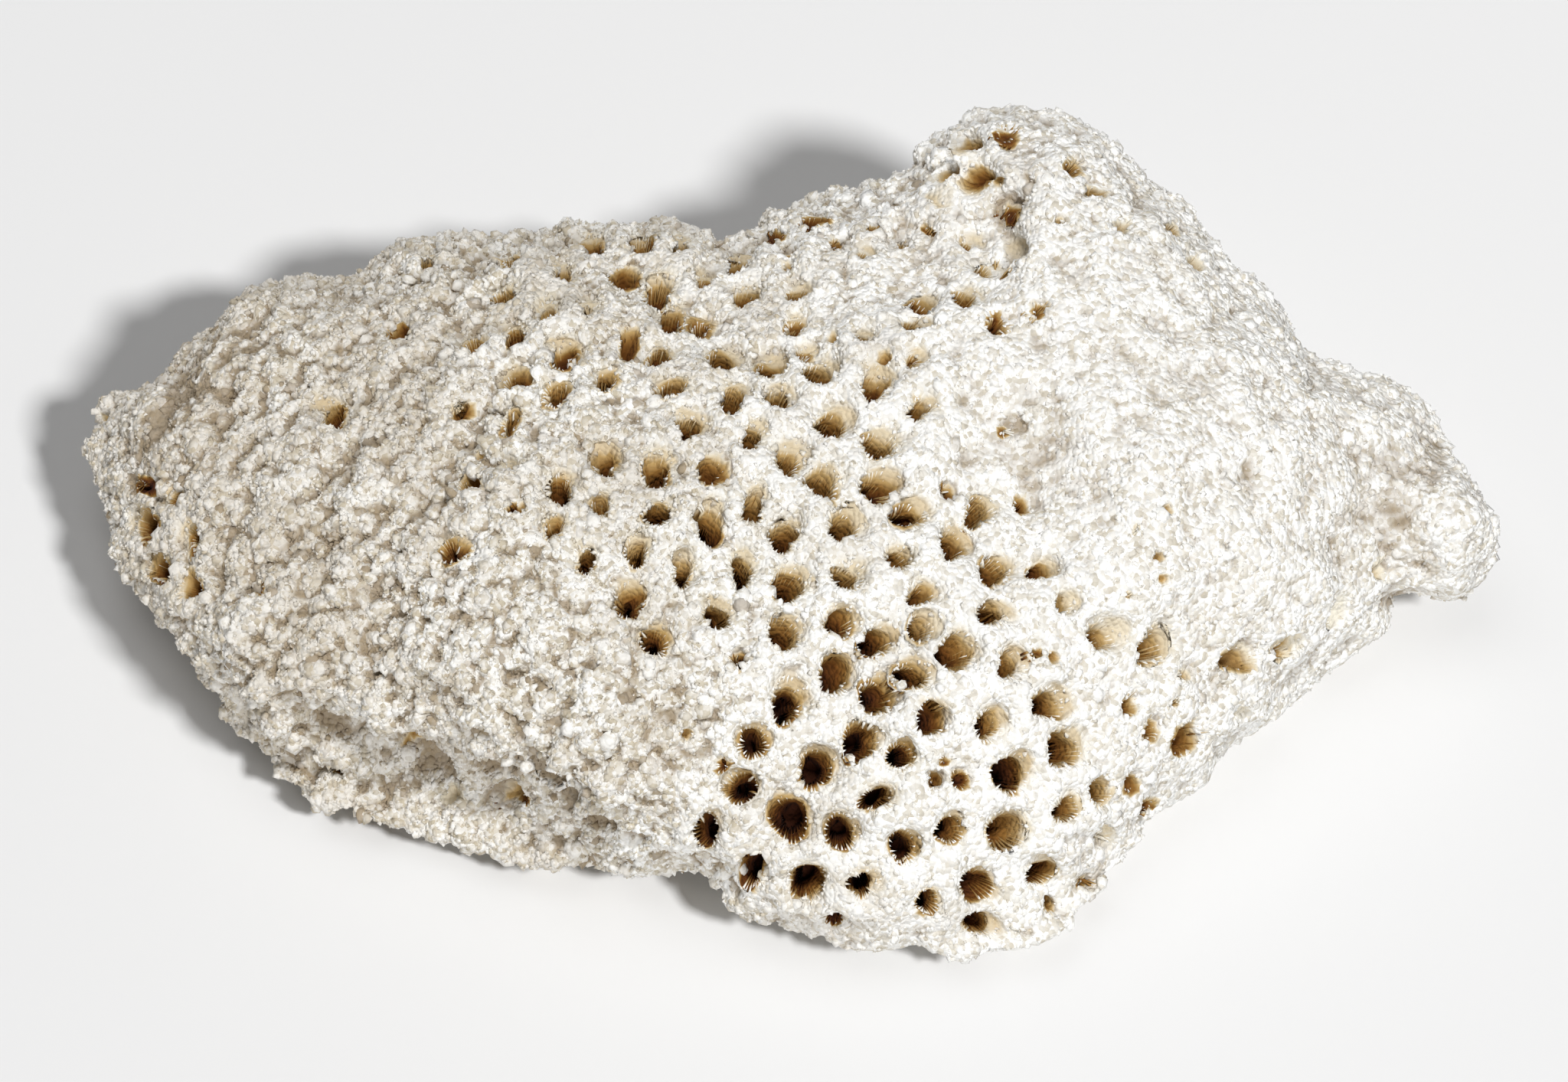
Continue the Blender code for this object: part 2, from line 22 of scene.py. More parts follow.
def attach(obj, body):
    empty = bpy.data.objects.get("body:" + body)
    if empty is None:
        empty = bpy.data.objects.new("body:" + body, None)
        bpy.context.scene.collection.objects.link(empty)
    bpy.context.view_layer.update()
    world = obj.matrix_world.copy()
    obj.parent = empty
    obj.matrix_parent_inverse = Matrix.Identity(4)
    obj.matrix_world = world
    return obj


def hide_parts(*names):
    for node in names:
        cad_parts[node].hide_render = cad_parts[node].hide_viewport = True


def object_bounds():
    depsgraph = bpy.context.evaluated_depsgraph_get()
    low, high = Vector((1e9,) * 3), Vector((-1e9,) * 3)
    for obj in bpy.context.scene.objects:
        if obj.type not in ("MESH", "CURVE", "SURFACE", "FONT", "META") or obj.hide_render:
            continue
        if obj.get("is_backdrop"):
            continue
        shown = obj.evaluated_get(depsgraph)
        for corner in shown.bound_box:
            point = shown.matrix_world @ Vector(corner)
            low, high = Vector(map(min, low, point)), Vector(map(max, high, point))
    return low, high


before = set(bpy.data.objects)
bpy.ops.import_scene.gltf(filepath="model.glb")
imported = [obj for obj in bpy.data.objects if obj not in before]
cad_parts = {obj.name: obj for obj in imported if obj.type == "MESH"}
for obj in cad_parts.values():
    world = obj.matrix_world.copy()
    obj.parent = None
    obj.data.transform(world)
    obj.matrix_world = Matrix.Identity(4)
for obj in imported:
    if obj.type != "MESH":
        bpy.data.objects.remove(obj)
solid_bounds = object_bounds()
MM = 0.001
began = time.perf_counter()


def say(*words):
    print(f"[{time.perf_counter() - began:5.1f} s]", *words)


say("solid model from", [tuple(round(c / MM, 1) for c in corner) for corner in solid_bounds])

# %% [markdown]
# ### The camera
#
# The coral is seen from in front and above, at about 55 degrees, from half a metre away. A camera
# can be aimed with a Track To constraint or by hand. Here a single rotation does it, because the
# camera only tilts: it turns about X by the angle between straight down and the line of sight.

# %% Camera

EYE = Vector((-0.606, -285.241, 419.576)) * MM
EYE_ELEVATION = math.radians(55.0)
EYE_DISTANCE = 500.0
SENSOR_WIDTH = 36.0
VIEW_WIDTH = 133.565  # what the picture's width takes in at that distance, in millimetres

camera = bpy.data.objects.new("camera", bpy.data.cameras.new("camera"))
camera.data.sensor_width = SENSOR_WIDTH
camera.data.lens = SENSOR_WIDTH * EYE_DISTANCE / VIEW_WIDTH
camera.data.clip_start = 10 * MM
camera.location = EYE
camera.rotation_euler = (math.pi / 2 - EYE_ELEVATION, 0.0, 0.0)
bpy.context.scene.collection.objects.link(camera)
bpy.context.scene.camera = camera
say("camera with a lens of", round(camera.data.lens, 1), "mm")

# %% [markdown]
# ### Floor and light
#
# A pale floor and five soft lamps make a plain studio. A lamp's shadow is as soft as the lamp is
# large, so softness is set by size and not by a blur. The lamp on the right throws the shadow to
# the left, and a fill keeps the floor round the lump bright. A box overhead sends light down into
# the tubes, a box in front brightens the steep sides, and a weak one behind does it for the back.
# No lamp can do it all, so light linking gives each its own job: two light the floor, three the
# coral.

# %% Floor, lamps and world

FLOOR_SIZE = 4.0
FLOOR_COLOUR = (0.86, 0.86, 0.86, 1.0)
ROUGHNESS = 0.9  # of the floor and of the stone
# Each lamp has its direction seen from the lump, its distance, its size and its power.
FLOOR_LAMPS = {"shadow_lamp": (Vector((0.68, -0.68, 1.0)), 3.0, 0.42, 85.0),
               "floor_fill": (Vector((-0.22, 0.10, 1.0)), 1.6, 1.3, 4.8)}
CORAL_LAMPS = {"top_box": (Vector((0.12, -0.12, 1.0)), 1.6, 0.28, 15.0),
               "front_box": (Vector((0.10, -1.0, 0.7)), 1.6, 0.6, 13.0),
               "back_box": (Vector((-0.40, 1.0, 0.5)), 1.6, 0.8, 4.5)}
WORLD_STRENGTH = 0.15


def plain_material(name, colour):
    material = bpy.data.materials.new(name)
    material.use_nodes = True
    shader = material.node_tree.nodes["Principled BSDF"]
    shader.inputs["Base Color"].default_value = colour
    shader.inputs["Roughness"].default_value = ROUGHNESS
    return material


def mesh_object(name, mesh):
    piece = bpy.data.objects.new(name, mesh)
    bpy.context.scene.collection.objects.link(piece)
    return piece


def lamp(name, direction, distance, size, power):
    light = bpy.data.lights.new(name, "AREA")
    light.shape = "DISK"
    light.size = size
    light.energy = power
    holder = bpy.data.objects.new(name, light)
    holder.location = direction.normalized() * distance
    holder.rotation_euler = direction.to_track_quat("Z", "Y").to_euler()
    bpy.context.scene.collection.objects.link(holder)
    lit = bpy.data.collections.new(name + "_lights")
    holder.light_linking.receiver_collection = lit
    return lit


half = FLOOR_SIZE / 2
corners = [(-half, -half, 0), (half, -half, 0), (half, half, 0), (-half, half, 0)]
floor_mesh = bpy.data.meshes.new("floor")
floor_mesh.from_pydata(corners, [], [(0, 1, 2, 3)])
floor = mesh_object("floor", floor_mesh)
floor.data.materials.append(plain_material("floor_paper", FLOOR_COLOUR))
floor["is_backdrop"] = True

for name, values in FLOOR_LAMPS.items():
    lamp(name, *values).objects.link(floor)
coral_lit = [lamp(name, *values) for name, values in CORAL_LAMPS.items()]

world = bpy.data.worlds.new("pale_room")
world.use_nodes = True
background = world.node_tree.nodes["Background"]
background.inputs["Color"].default_value = (1.0, 1.0, 1.0, 1.0)
background.inputs["Strength"].default_value = WORLD_STRENGTH
bpy.context.scene.world = world
bpy.context.scene.view_settings.view_transform = "Standard"

# %% [markdown]
# ### Finding the calices
#
# Every tube of the solid ends in a flat floor with seven sides, and nothing else on the lump is
# flat and has seven corners. So the calices need no list here: a walk over the faces gathers
# neighbours that lie in one plane, and each group with seven corners is a floor. The ring of
# corners above it is the mouth.

# %% Calices of the solid

CALICE_SIDES = 7
FLAT = 0.99999  # the cosine of the angle at which two faces still count as one plane
CUP_LIMIT = 3.2 * MM  # a calice that is less deep than this is a worn cup
SAME_PLACE = 3.0 * MM  # a listed place is nearer than this to the mouth that it means
SEALED = [(-28.3, -20.8, 5.7)]  # a calice that is filled nearly to its mouth
BROKEN = (13.6, 27.5, 27.0)  # a ledge by the knob cuts through the calices round this place
BROKEN_WIDTH = 9.5  # in millimetres, as all listed places are
STRAIGHT_FRONT, STRAIGHT_LEFT = -28.0, -50.0  # beyond this Y and this X, in mm, tubes don't lean
LEAN_FADE = 6.0  # over how many millimetres the lean sets in


def merged_copy(node):
    mesh = bmesh.new()
    mesh.from_mesh(node.data)
    bmesh.ops.remove_doubles(mesh, verts=mesh.verts, dist=0.001 * MM)
    mesh.normal_update()
    return mesh


def flat_groups(mesh):
    """Groups of faces that touch and lie in one plane."""
    seen = set()
    for first in mesh.faces:
        if first in seen:
            continue
        seen.add(first)
        group = [first]
        for face in group:
            for edge in face.edges:
                for other in edge.link_faces:
                    if other not in seen and other.normal.dot(first.normal) > FLAT:
                        seen.add(other)
                        group.append(other)
        yield group


class Calice:
    """A tube's mouth and floor: where it is, which way it opens, and how wide and deep it is."""

    def __init__(self, floor_faces, corners):
        walls = {face for corner in corners for face in corner.link_faces} - set(floor_faces)
        ring = {vertex for face in walls for vertex in face.verts} - corners
        # A set has no fixed order, so both are sorted. Otherwise ribs differ from run to run.
        ring = np.array(sorted(vertex.co[:] for vertex in ring))
        bottom = np.array(sorted(vertex.co[:] for vertex in corners))
        self.axis = np.array(floor_faces[0].normal[:])
        self.mouth = ring.mean(axis=0)
        self.depth = float((self.mouth - bottom.mean(axis=0)) @ self.axis)
        flat = ring - self.mouth
        flat -= np.outer(flat @ self.axis, self.axis)
        values, directions = np.linalg.eigh(flat.T @ flat / len(ring))
        self.short, self.long = directions[:, 1], directions[:, 2]
        self.radii = np.sqrt(2.0 * values[1:])  # a ring's spread is half its radius squared
        self.is_tube = self.depth > CUP_LIMIT
        self.sealed = self.broken = False
        self.lean = 1.0

    def local(self, points):
        """How far up the axis the points are, and how far out in mouth radii."""
        off = points - self.mouth
        u, v = off @ self.short, off @ self.long
        return off @ self.axis, np.hypot(u / self.radii[0], v / self.radii[1])


stone = merged_copy(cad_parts["coral"])
calices = []
for group in flat_groups(stone):
    corners = {vertex for face in group for vertex in face.verts}
    if len(corners) == CALICE_SIDES and len(group) == CALICE_SIDES - 2:
        calices.append(Calice(group, corners))
tubes = [calice for calice in calices if calice.is_tube]


def nearest_calice(place):
    spot = np.array(place) * MM
    gaps = [float(np.linalg.norm(calice.mouth - spot)) for calice in calices]
    return int(np.argmin(gaps)) if min(gaps) < SAME_PLACE else None


for place in SEALED:
    calices[nearest_calice(place)].sealed = True
for calice in calices:
    calice.broken = np.linalg.norm(calice.mouth / MM - BROKEN) < BROKEN_WIDTH / 2
    calice.lean = float(np.clip((calice.mouth[1] / MM - STRAIGHT_FRONT) / LEAN_FADE, 0.0, 1.0)
                        * np.clip((calice.mouth[0] / MM - STRAIGHT_LEFT) / LEAN_FADE, 0.0, 1.0))
say(len(tubes), "tubes and", len(calices) - len(tubes), "cups; mean mouth",
    round(2 * float(np.mean([tube.radii for tube in tubes])) / MM, 2), "mm")

# %% [markdown]
# ### A skin fine enough to carve
#
# The solid has about nine thousand triangles, some of them five millimetres wide. Carving needs
# small, even faces. Subdividing would keep the long thin triangles long and thin, so the Remesh
# modifier in voxel mode is used: it fills the lump with small cubes and lays a new skin over them.
# The skin is then kept as arrays of numbers, because every later step moves all points at once.

# %% Voxel skin

VOXEL = 0.36 * MM


def applied(piece):
    """The mesh of a piece with its modifiers applied. The piece itself is removed."""
    depsgraph = bpy.context.evaluated_depsgraph_get()
    mesh = bpy.data.meshes.new_from_object(piece.evaluated_get(depsgraph))
    bpy.data.objects.remove(piece)
    return mesh


def remeshed(source, voxel):
    mesh = bpy.data.meshes.new("even")
    source.to_mesh(mesh)
    piece = mesh_object("even", mesh)
    modifier = piece.modifiers.new("voxels", "REMESH")
    modifier.mode = "VOXEL"
    modifier.voxel_size = voxel
    return applied(piece)


class Skin:
    """A closed mesh as arrays: its points, their normals and who their neighbours are."""

    def __init__(self, mesh):
        self.mesh = mesh
        self.size = len(mesh.vertices)
        edges = np.empty(2 * len(mesh.edges), dtype=np.int32)
        mesh.edges.foreach_get("vertices", edges)
        self.a, self.b = edges.reshape(-1, 2).T
        self.valence = np.bincount(edges, minlength=self.size)
        self.read()

    def read(self):
        flat = np.empty(3 * self.size, dtype=np.float32)
        self.mesh.vertices.foreach_get("co", flat)
        self.points = flat.reshape(-1, 3).astype(float)
        self.mesh.vertex_normals.foreach_get("vector", flat)
        self.normals = flat.reshape(-1, 3).astype(float)

    def write(self, points):
        self.mesh.vertices.foreach_set("co", points.astype(np.float32).ravel())
        self.mesh.update()
        self.read()

    def spread(self, values):
        """Each point's value becomes the mean of its neighbours' values."""
        columns = values.reshape(self.size, -1).T
        means = [
            (np.bincount(self.a, column[self.b], self.size)
             + np.bincount(self.b, column[self.a], self.size)) / self.valence
            for column in columns
        ]
        return np.array(means).T.reshape(values.shape)

    def spread_often(self, values, times):
        for _ in range(times):
            values = self.spread(values)
        return values


skin = Skin(remeshed(stone, VOXEL))
stone.free()
say("skin of", skin.size, "points")

# %% [markdown]
# ### Where each point is in a tube
#
# The carving, the ribs and the brown of the tubes, which is stain and painted shade, all ask the
# same
# things of a point: how far down a tube it is, which mouth is nearest, and whether it is on that
# mouth's worn side. That is worked out once here and kept as lists with one value for each point.
# The solid's tubes are straighter than anything that grew, so their walls are moved as well: they
# narrow, lean and bend.

# %% Places in the tubes

REACH = 2.2  # how far round a mouth is looked at, in mouth radii
REACH_DOWN = 1.1  # how far down, in depths of the calice
REACH_UP = 1.2 * MM  # and how far above the mouth
INSIDE = 1.12  # what counts as inside a tube, in mouth radii
WORN_WAY = (0.45, 0.89)  # which side of a mouth is worn, as X and Y
WORN_TURN = 0.012  # how much larger that X gets with every millimetre to the right
SIDE_FADE = 0.6  # how quickly the worn side turns into the sharp one
NEAR_MIDDLE = 0.3  # nearer to the middle than this, in radii, the sides blend
NEAR_AXIS = 0.3 * MM  # and nearer than this, points move less

STAIN_AND_SHADE_START = (0.02, 0.06)  # how far down the stain and painted shade begin, and how much later on the worn side
STAIN_AND_SHADE_GROWTH = (3.0, 1.7)  # how fast they deepen, and how much more slowly on the worn side
RIM_TOP = (0.15, 0.3)  # from which slope on a point lies on top of the rim, and how gently
TUBE_RIM, CUP_RIM = 0.4, 0.1  # how far down a point can be on top of the rim
WORN_SLOPE_SHADE = (0.09, 0.42)  # how much painted shade the worn side's slope has, and how broad it is, in radii

TUBE_LEAN = np.array((-0.42, -0.16, 0.0))  # how far a tube runs sideways as it goes down
NARROWER = -0.16 * MM  # how a tube's width changes
LONGER = 0.14 * MM  # and its length, towards the worn side
CUP_EXTRA = 1.1 * MM  # how much deeper the worn cups are than in the solid
SEALED_SHARE = 0.75  # how much of a sealed calice is filled
CROOKED = ((2.4 * MM, 0.75 * MM), (0.9 * MM, 0.38 * MM))  # how wide and how far the bends go
CROOKED_END = (1.9, 0.8)  # where the bends have faded out, and how gently, in radii
LEAST_BEND = 0.02  # a bend that has faded to less than this is left out

BEVEL = (0.16, 0.75)  # how wide the wear is on the sharp side and on the worn one, in radii
SHARP_SIDE = 0.2  # how much the sharp side is worn, as a share of the worn one
WEAR_DEPTH = 0.3  # how far down the wear reaches, as a share of the depth
CUP_WEAR = 0.4  # how much of the wear the cups have

# down also sets how dark the tubes are painted: their stain and painted shade
down = np.zeros(skin.size)  # 0 at the mouth, 1 at the floor
wear = np.zeros(skin.size)  # 1 at the worn side of a mouth, 0 away from mouths
moved = np.zeros((skin.size, 3))  # how a point of a tube's wall is moved
owner = np.full(skin.size, -1)  # which calice is nearest
closest = np.full(skin.size, 99.0)  # how far away its middle is, in mouth radii
sides = np.zeros(skin.size)  # 1 on its worn side, 0 on its sharp one


def worn_side(place):
    """The side of a mouth that is worn to a slope: the back, and more to the right on the right."""
    way = np.array((WORN_WAY[0] + WORN_TURN * place[0] / MM, WORN_WAY[1], 0.0))
    return way / np.linalg.norm(way)


for index, calice in enumerate(calices):
    way = worn_side(calice.mouth)
    span = REACH * calice.radii.max() + calice.depth
    near = np.nonzero(((skin.points - calice.mouth) ** 2).sum(axis=1) < span * span)[0]
    along, out = calice.local(skin.points[near])
    here = (out < REACH) & (along > -REACH_DOWN * calice.depth) & (along < REACH_UP)
    near, along, out = near[here], along[here], out[here]
    inner = out < INSIDE
    beyond = np.maximum(out, 1.0) - 1.0
    share = np.clip(-along / calice.depth, 0.0, 1.0)
    side = (skin.points[near] - calice.mouth) @ way
    side /= calice.radii.mean() * np.maximum(out, NEAR_MIDDLE)
    side = np.clip(0.5 + SIDE_FADE * side, 0.0, 1.0)

    # Stain and painted shade: the wall is painted darker with depth, sooner and faster on the sharp
    # side.
    growth = STAIN_AND_SHADE_GROWTH[0] - STAIN_AND_SHADE_GROWTH[1] * side
    deeper = np.clip((share - STAIN_AND_SHADE_START[0] - STAIN_AND_SHADE_START[1] * side) * growth, 0.0, 1.0)
    on_top = np.clip((skin.normals[near] @ calice.axis - RIM_TOP[0]) / RIM_TOP[1], 0.0, 1.0)
    is_rim = share < (TUBE_RIM if calice.is_tube else CUP_RIM)
    deeper *= np.where(is_rim, 1.0 - on_top, 1.0)
    down[near[inner]] = np.maximum(down[near[inner]], deeper[inner])
    if calice.is_tube:
        # Painted shade: the worn slope round a tube's mouth is tinted towards tan.
        slope_shade = WORN_SLOPE_SHADE[0] * side ** 2 * np.exp(-(beyond / WORN_SLOPE_SHADE[1]) ** 2)
        down[near] = np.maximum(down[near], slope_shade)

    inner &= share > 0.0
    outwards = skin.points[near] - calice.mouth
    outwards -= np.outer(outwards @ calice.axis, calice.axis)
    outwards /= np.maximum(np.linalg.norm(outwards, axis=1, keepdims=True), NEAR_AXIS)
    lengthways = np.outer(outwards @ way, way)
    raised = calice.depth * (SEALED_SHARE * calice.sealed + calice.broken)
    raised -= 0.0 if calice.is_tube else CUP_EXTRA
    moved[near[inner]] = ((NARROWER * (outwards - lengthways) + LONGER * lengthways)[inner]
                          + np.outer(share[inner] * calice.depth, calice.lean * TUBE_LEAN)
                          + np.outer(share[inner] * raised, calice.axis))

    width = BEVEL[0] + (BEVEL[1] - BEVEL[0]) * side
    edge = np.exp(-(beyond / width) ** 2) * np.exp(-share / WEAR_DEPTH)
    edge *= (SHARP_SIDE + (1.0 - SHARP_SIDE) * side) * (1.0 if calice.is_tube else CUP_WEAR)
    wear[near] = np.maximum(wear[near], edge)

    better = out < closest[near]
    closest[near[better]] = out[better]
    owner[near[better]] = index
    sides[near[better]] = side[better]

noise.seed_set(11)
near_mouth = np.clip((CROOKED_END[0] - closest) / CROOKED_END[1], 0.0, 1.0)
for index in np.nonzero(near_mouth > LEAST_BEND)[0]:
    for width, far in CROOKED:
        bend = noise.noise_vector(Vector(skin.points[index] / width))
        moved[index] += far * near_mouth[index] * np.array(bend)
skin.write(skin.points + moved)
say("points in tubes:", int((down > 0.05).sum()))

# %% [markdown]
# ### Carving the relief
#
# Close up the stone looks like packed wet sugar: lumps the size of a pea, clumps of a millimetre or
# two with creases between them, and crumbs on the clumps. Displace modifiers could do it, but the
# relief has to fade out inside the tubes and round off their mouths, so the heights are worked out
# point by point. Clouds come from fractal noise. Clumps come from Voronoi cells: a point lies lower
# the further it is from the nearest cell's middle, so creases form between the cells. The left side
# is rougher than the right, and a low rim stands round each tube.
#
# Some forms have a place of their own: the pits, the smooth scoops under the front ledge, the tan
# spots, the knob, and the calices that a ledge cuts through.

# %% Relief

PITS = [((-0.3, 19.4, 25.1), 0.9, 1.2), ((22.7, 20.6, 30.1), 0.9, 1.2),
        ((17.2, 25.0, 29.4), 1.3, 1.4), ((3.4, 9.9, 27.7), 1.1, 1.3),
        ((7.7, 7.3, 28.7), 1.3, 1.4), ((-26.0, -1.2, 27.1), 0.9, 1.3),
        ((-22.1, -7.7, 28.1), 0.9, 1.2), ((21.5, -19.0, 22.8), 1.1, 1.3),
        ((30.2, -10.6, 25.1), 1.0, 1.3), ((30.5, -12.0, 23.9), 0.9, 1.1),
        ((31.0, -6.8, 26.5), 0.9, 1.1), ((-8.5, -24.9, 20.3), 1.0, 1.3),
        ((-59.8, 15.2, 8.6), 1.6, 1.5), ((14.7, 31.4, 27.0), 3.0, 2.6),
        ((13.1, 28.3, 26.8), 2.6, 2.6), ((15.6, 26.6, 28.4), 3.4, 2.8)]
# each with its place, width and depth in millimetres
PIT_STAIN_AND_SHADE = 0.25  # how dark a pit is painted per millimetre of its depth: stain and painted shade
PIT_RIM = 1.15  # how much wider a pit is than its painted stain and shade
PIT_EDGE = 6  # how sharply the painted stain and shade end
SCOOPS = [((-33.9, -19.7, 10.9), 6.0, 2.6), ((-36.9, -18.2, 10.1), 4.0, 2.0),
          ((-30.2, -20.5, 8.9), 4.4, 2.2), ((-24.9, -23.0, 11.6), 3.6, 2.2),
          ((-23.3, -22.8, 7.2), 4.8, 1.8), ((-20.3, -26.1, 15.3), 2.6, 2.0),
          ((-18.8, -26.1, 11.9), 3.0, 2.0), ((-16.0, -27.7, 10.8), 3.0, 1.6),
          ((-12.8, -28.7, 10.6), 2.4, 1.2), ((-40.9, -17.8, 6.6), 3.0, 1.3),
          ((-38.8, -18.8, 5.1), 2.6, 1.2)]  # the same, under the front ledge
SCOOP_WAY = np.array((0.34, 0.94, 0.0))  # they are scooped level, so that the ledge overhangs
SCOOP_PALER = 0.85  # how much of the tubes' stain and painted shade is gone in a scoop
MEND_STEPS = 150  # how often the broken calices by the knob are smoothed
TAN_SPOTS = [((-49.5, 15.5, 18.0), 11.0, 1.0), ((-52.5, 11.0, 17.0), 11.0, 1.0),
             ((-54.0, 8.0, 16.5), 9.0, 0.9), ((-44.8, -15.0, 16.0), 5.0, 0.4),
             ((-39.3, -15.6, 18.7), 4.5, 0.4), ((20.5, 0.5, 28.0), 7.0, 0.3),
             ((33.0, 4.0, 27.0), 9.0, 0.2), ((18.0, 29.0, 27.0), 22.0, 0.32),
             ((55.0, 3.0, 16.0), 22.0, 0.45)]  # place and width in millimetres, and strength
SMOOTH_SPOTS = 3  # the first so many of them are smooth as well
KNOB = ((18.0, 29.0, 27.0), 24.0, 0.7)  # place, width and how much rougher the knob is
COLLAR = (1.38, 0.3, 0.24 * MM)  # how far out in radii, how broad and how high the mouths' rims are
COLLAR_WORN = 0.8  # how much of a rim is gone on the worn side
COLLAR_STEPS = 8  # how often the rims are blurred, so that none ends in a step
SCOOP_SMOOTH, COLLAR_SMOOTH, SPOT_SMOOTH = 0.7, 0.85, 0.4  # how smooth each of these places is
FACET_STEPS = 9  # how often the solid's flat facets are smoothed
SMOOTHING = 0.6  # how far a point goes towards its neighbours each time
SWELL = (8.0 * MM, 0.8 * MM)  # how wide and how high
KNOLL = (3.4 * MM, 0.6 * MM)
CLUMP = (1.6 * MM, 0.45 * MM)
CRUMB = (0.78 * MM, 0.36 * MM)
DOME_MEAN = 0.55  # taken from clumps and crumbs, so that they don't make the lump thicker
WANDER = (2.6 * MM, 0.5 * MM)  # how wide and how far the clumps' outlines wander
SHIFTS = (0.0, 31.0 * MM, 67.0 * MM)  # where the noise is read for X, Y and Z of the wandering
ROUGH_SHIFT, CRUMB_SHIFT = 90.0 * MM, 5.0 * MM  # and where for the roughness and the crumbs
STREAK = np.array((0.55, 0.83, 0.0))  # which way the left side's ridges run
STREAK_LENGTH = 0.5
LEFT_FADE = 30 * MM  # over what width the right side turns into the left one
ROUGH = (0.9, 14.0 * MM, 0.45, 1.5)  # how rough on average, in patches how wide, least and most
ROUGH_SIDES = (0.4, 1.5)  # how rough the right side is, and how much rougher the left one
CRUMB_SIDES = (0.55, 0.65)  # and the same for the crumbs alone
KNOLL_LEAST = 0.8  # knolls are at least this high, as a share
WORN = 0.75 * MM  # how much is worn off a mouth's edge
PLAIN = 0.2  # how much of the relief is left inside a tube
FADE_START, FADE_LENGTH = 1.1, 0.2  # how the relief fades on the way down a tube


def clouds(points, width, octaves):
    scaled = (points / width).tolist()
    return np.array([noise.fractal(Vector(p), 1.0, 2.0, octaves) for p in scaled])


def domes(points, width):
    """1 in the middles of the cells, falling to about 0 in the creases between them."""
    scaled = (points / width).tolist()
    near = np.array([noise.voronoi(Vector(p))[0][0] for p in scaled])
    return 1.0 - 1.5 * near ** 2


def spot(place, width, power=4):
    """1 at the place, falling to 0 at half the width from it."""
    apart = np.linalg.norm(skin.points - np.array(place) * MM, axis=1) / (width * MM / 2)
    return np.exp(-apart ** power)


def smoothed(points, shares, steps):
    """The points, each drawn towards its neighbours as much as its share says."""
    for _ in range(steps):
        points = points + SMOOTHING * shares[:, None] * (skin.spread(points) - points)
    return points


outside = np.clip(FADE_START - down / FADE_LENGTH, PLAIN, 1.0)
mended = spot(BROKEN, BROKEN_WIDTH)
even = smoothed(smoothed(skin.points, outside, FACET_STEPS), mended, MEND_STEPS)
down *= 1.0 - mended
skin.write(even)

scooped = np.zeros(skin.size)
for place, width, depth in SCOOPS:
    here = spot(place, width)
    scooped = np.maximum(scooped, here)
    even = even + depth * MM * here[:, None] * SCOOP_WAY
skin.write(even)

is_by_tube = np.array([calice.is_tube for calice in calices])[owner] & (owner >= 0)
collar = np.exp(-((closest - COLLAR[0]) / COLLAR[1]) ** 2) * is_by_tube
collar = skin.spread_often(collar * outside * (1.0 - COLLAR_WORN * sides), COLLAR_STEPS)
smooth = np.maximum(SCOOP_SMOOTH * scooped, COLLAR_SMOOTH * collar)
for place, width, _ in TAN_SPOTS[:SMOOTH_SPOTS]:
    smooth = np.maximum(smooth, SPOT_SMOOTH * spot(place, width))

leftness = np.clip(0.5 - skin.points[:, 0] / LEFT_FADE, 0.0, 1.0)


def by_side(right, more):
    """One value on the right side, and that much more on the left, for each point."""
    return right + more * leftness


wander = [clouds(skin.points + shift, WANDER[0], 2) for shift in SHIFTS]
bent = skin.points + WANDER[1] * np.stack(wander, 1)
drawn_out = bent - STREAK_LENGTH * (leftness * (bent @ STREAK))[:, None] * STREAK
rough = ROUGH[0] + ROUGH[0] * clouds(skin.points + ROUGH_SHIFT, ROUGH[1], 2)
rough = np.clip(rough, *ROUGH[2:]) * by_side(*ROUGH_SIDES) + KNOB[2] * spot(*KNOB[:2])

rise = SWELL[1] * clouds(skin.points, SWELL[0], 2)
rise += KNOLL[1] * clouds(drawn_out, KNOLL[0], 3) * np.maximum(rough, KNOLL_LEAST)
rise += CLUMP[1] * (domes(bent, CLUMP[0]) - DOME_MEAN) * rough * (1.0 - smooth)
crumb_rise = CRUMB[1] * (domes(bent + CRUMB_SHIFT, CRUMB[0]) - DOME_MEAN)
rise += crumb_rise * (1.0 - smooth) * by_side(*CRUMB_SIDES)
rise = rise * outside - WORN * wear + COLLAR[2] * collar

down *= 1.0 - SCOOP_PALER * scooped
for place, width, depth in PITS:
    rise -= depth * MM * spot(place, width)
    # Pits are painted darker the deeper they are: stain and painted shade.
    down = np.maximum(down, PIT_STAIN_AND_SHADE * depth * spot(place, width / PIT_RIM, PIT_EDGE))
carved = skin.points + rise[:, None] * skin.normals
carved[:, 2] = np.maximum(carved[:, 2], 0.0)
skin.write(carved)
say("relief from", round(rise.min() / MM, 2), "to", round(rise.max() / MM, 2), "mm")

# %% [markdown]
# ### Hollows
#
# Hollows are painted tan, partly as dirt and partly as painted shade in creases and under the
# front ledge. A point lies in a hollow when the surface around it is higher than it is, so the mean
# of its surroundings, minus the point, measured along its normal, says how deep the hollow is. The
# list goes with the mesh, and the material turns it into colour.

# %% Hollows

HOLLOW_SIZES = [(6, 0.24 * MM, 0.7), (60, 0.9 * MM, 0.5)]  # steps, depth that counts, share
HOLLOW_SIDES = (1.0, 0.6)  # how much hollows count on the right, and how much more on the left
SCOOP_SHADE = 0.08  # how much painted shade a scoop under the ledge has
PALER_COLLAR, PALER_SLOPE = 0.3, 0.4  # how much less painted shade and dirt rims and worn slopes have
SPOT_TAN = 0.85  # how far a tan spot of full strength turns the stone tan

shade_and_dirt = np.zeros(skin.size)
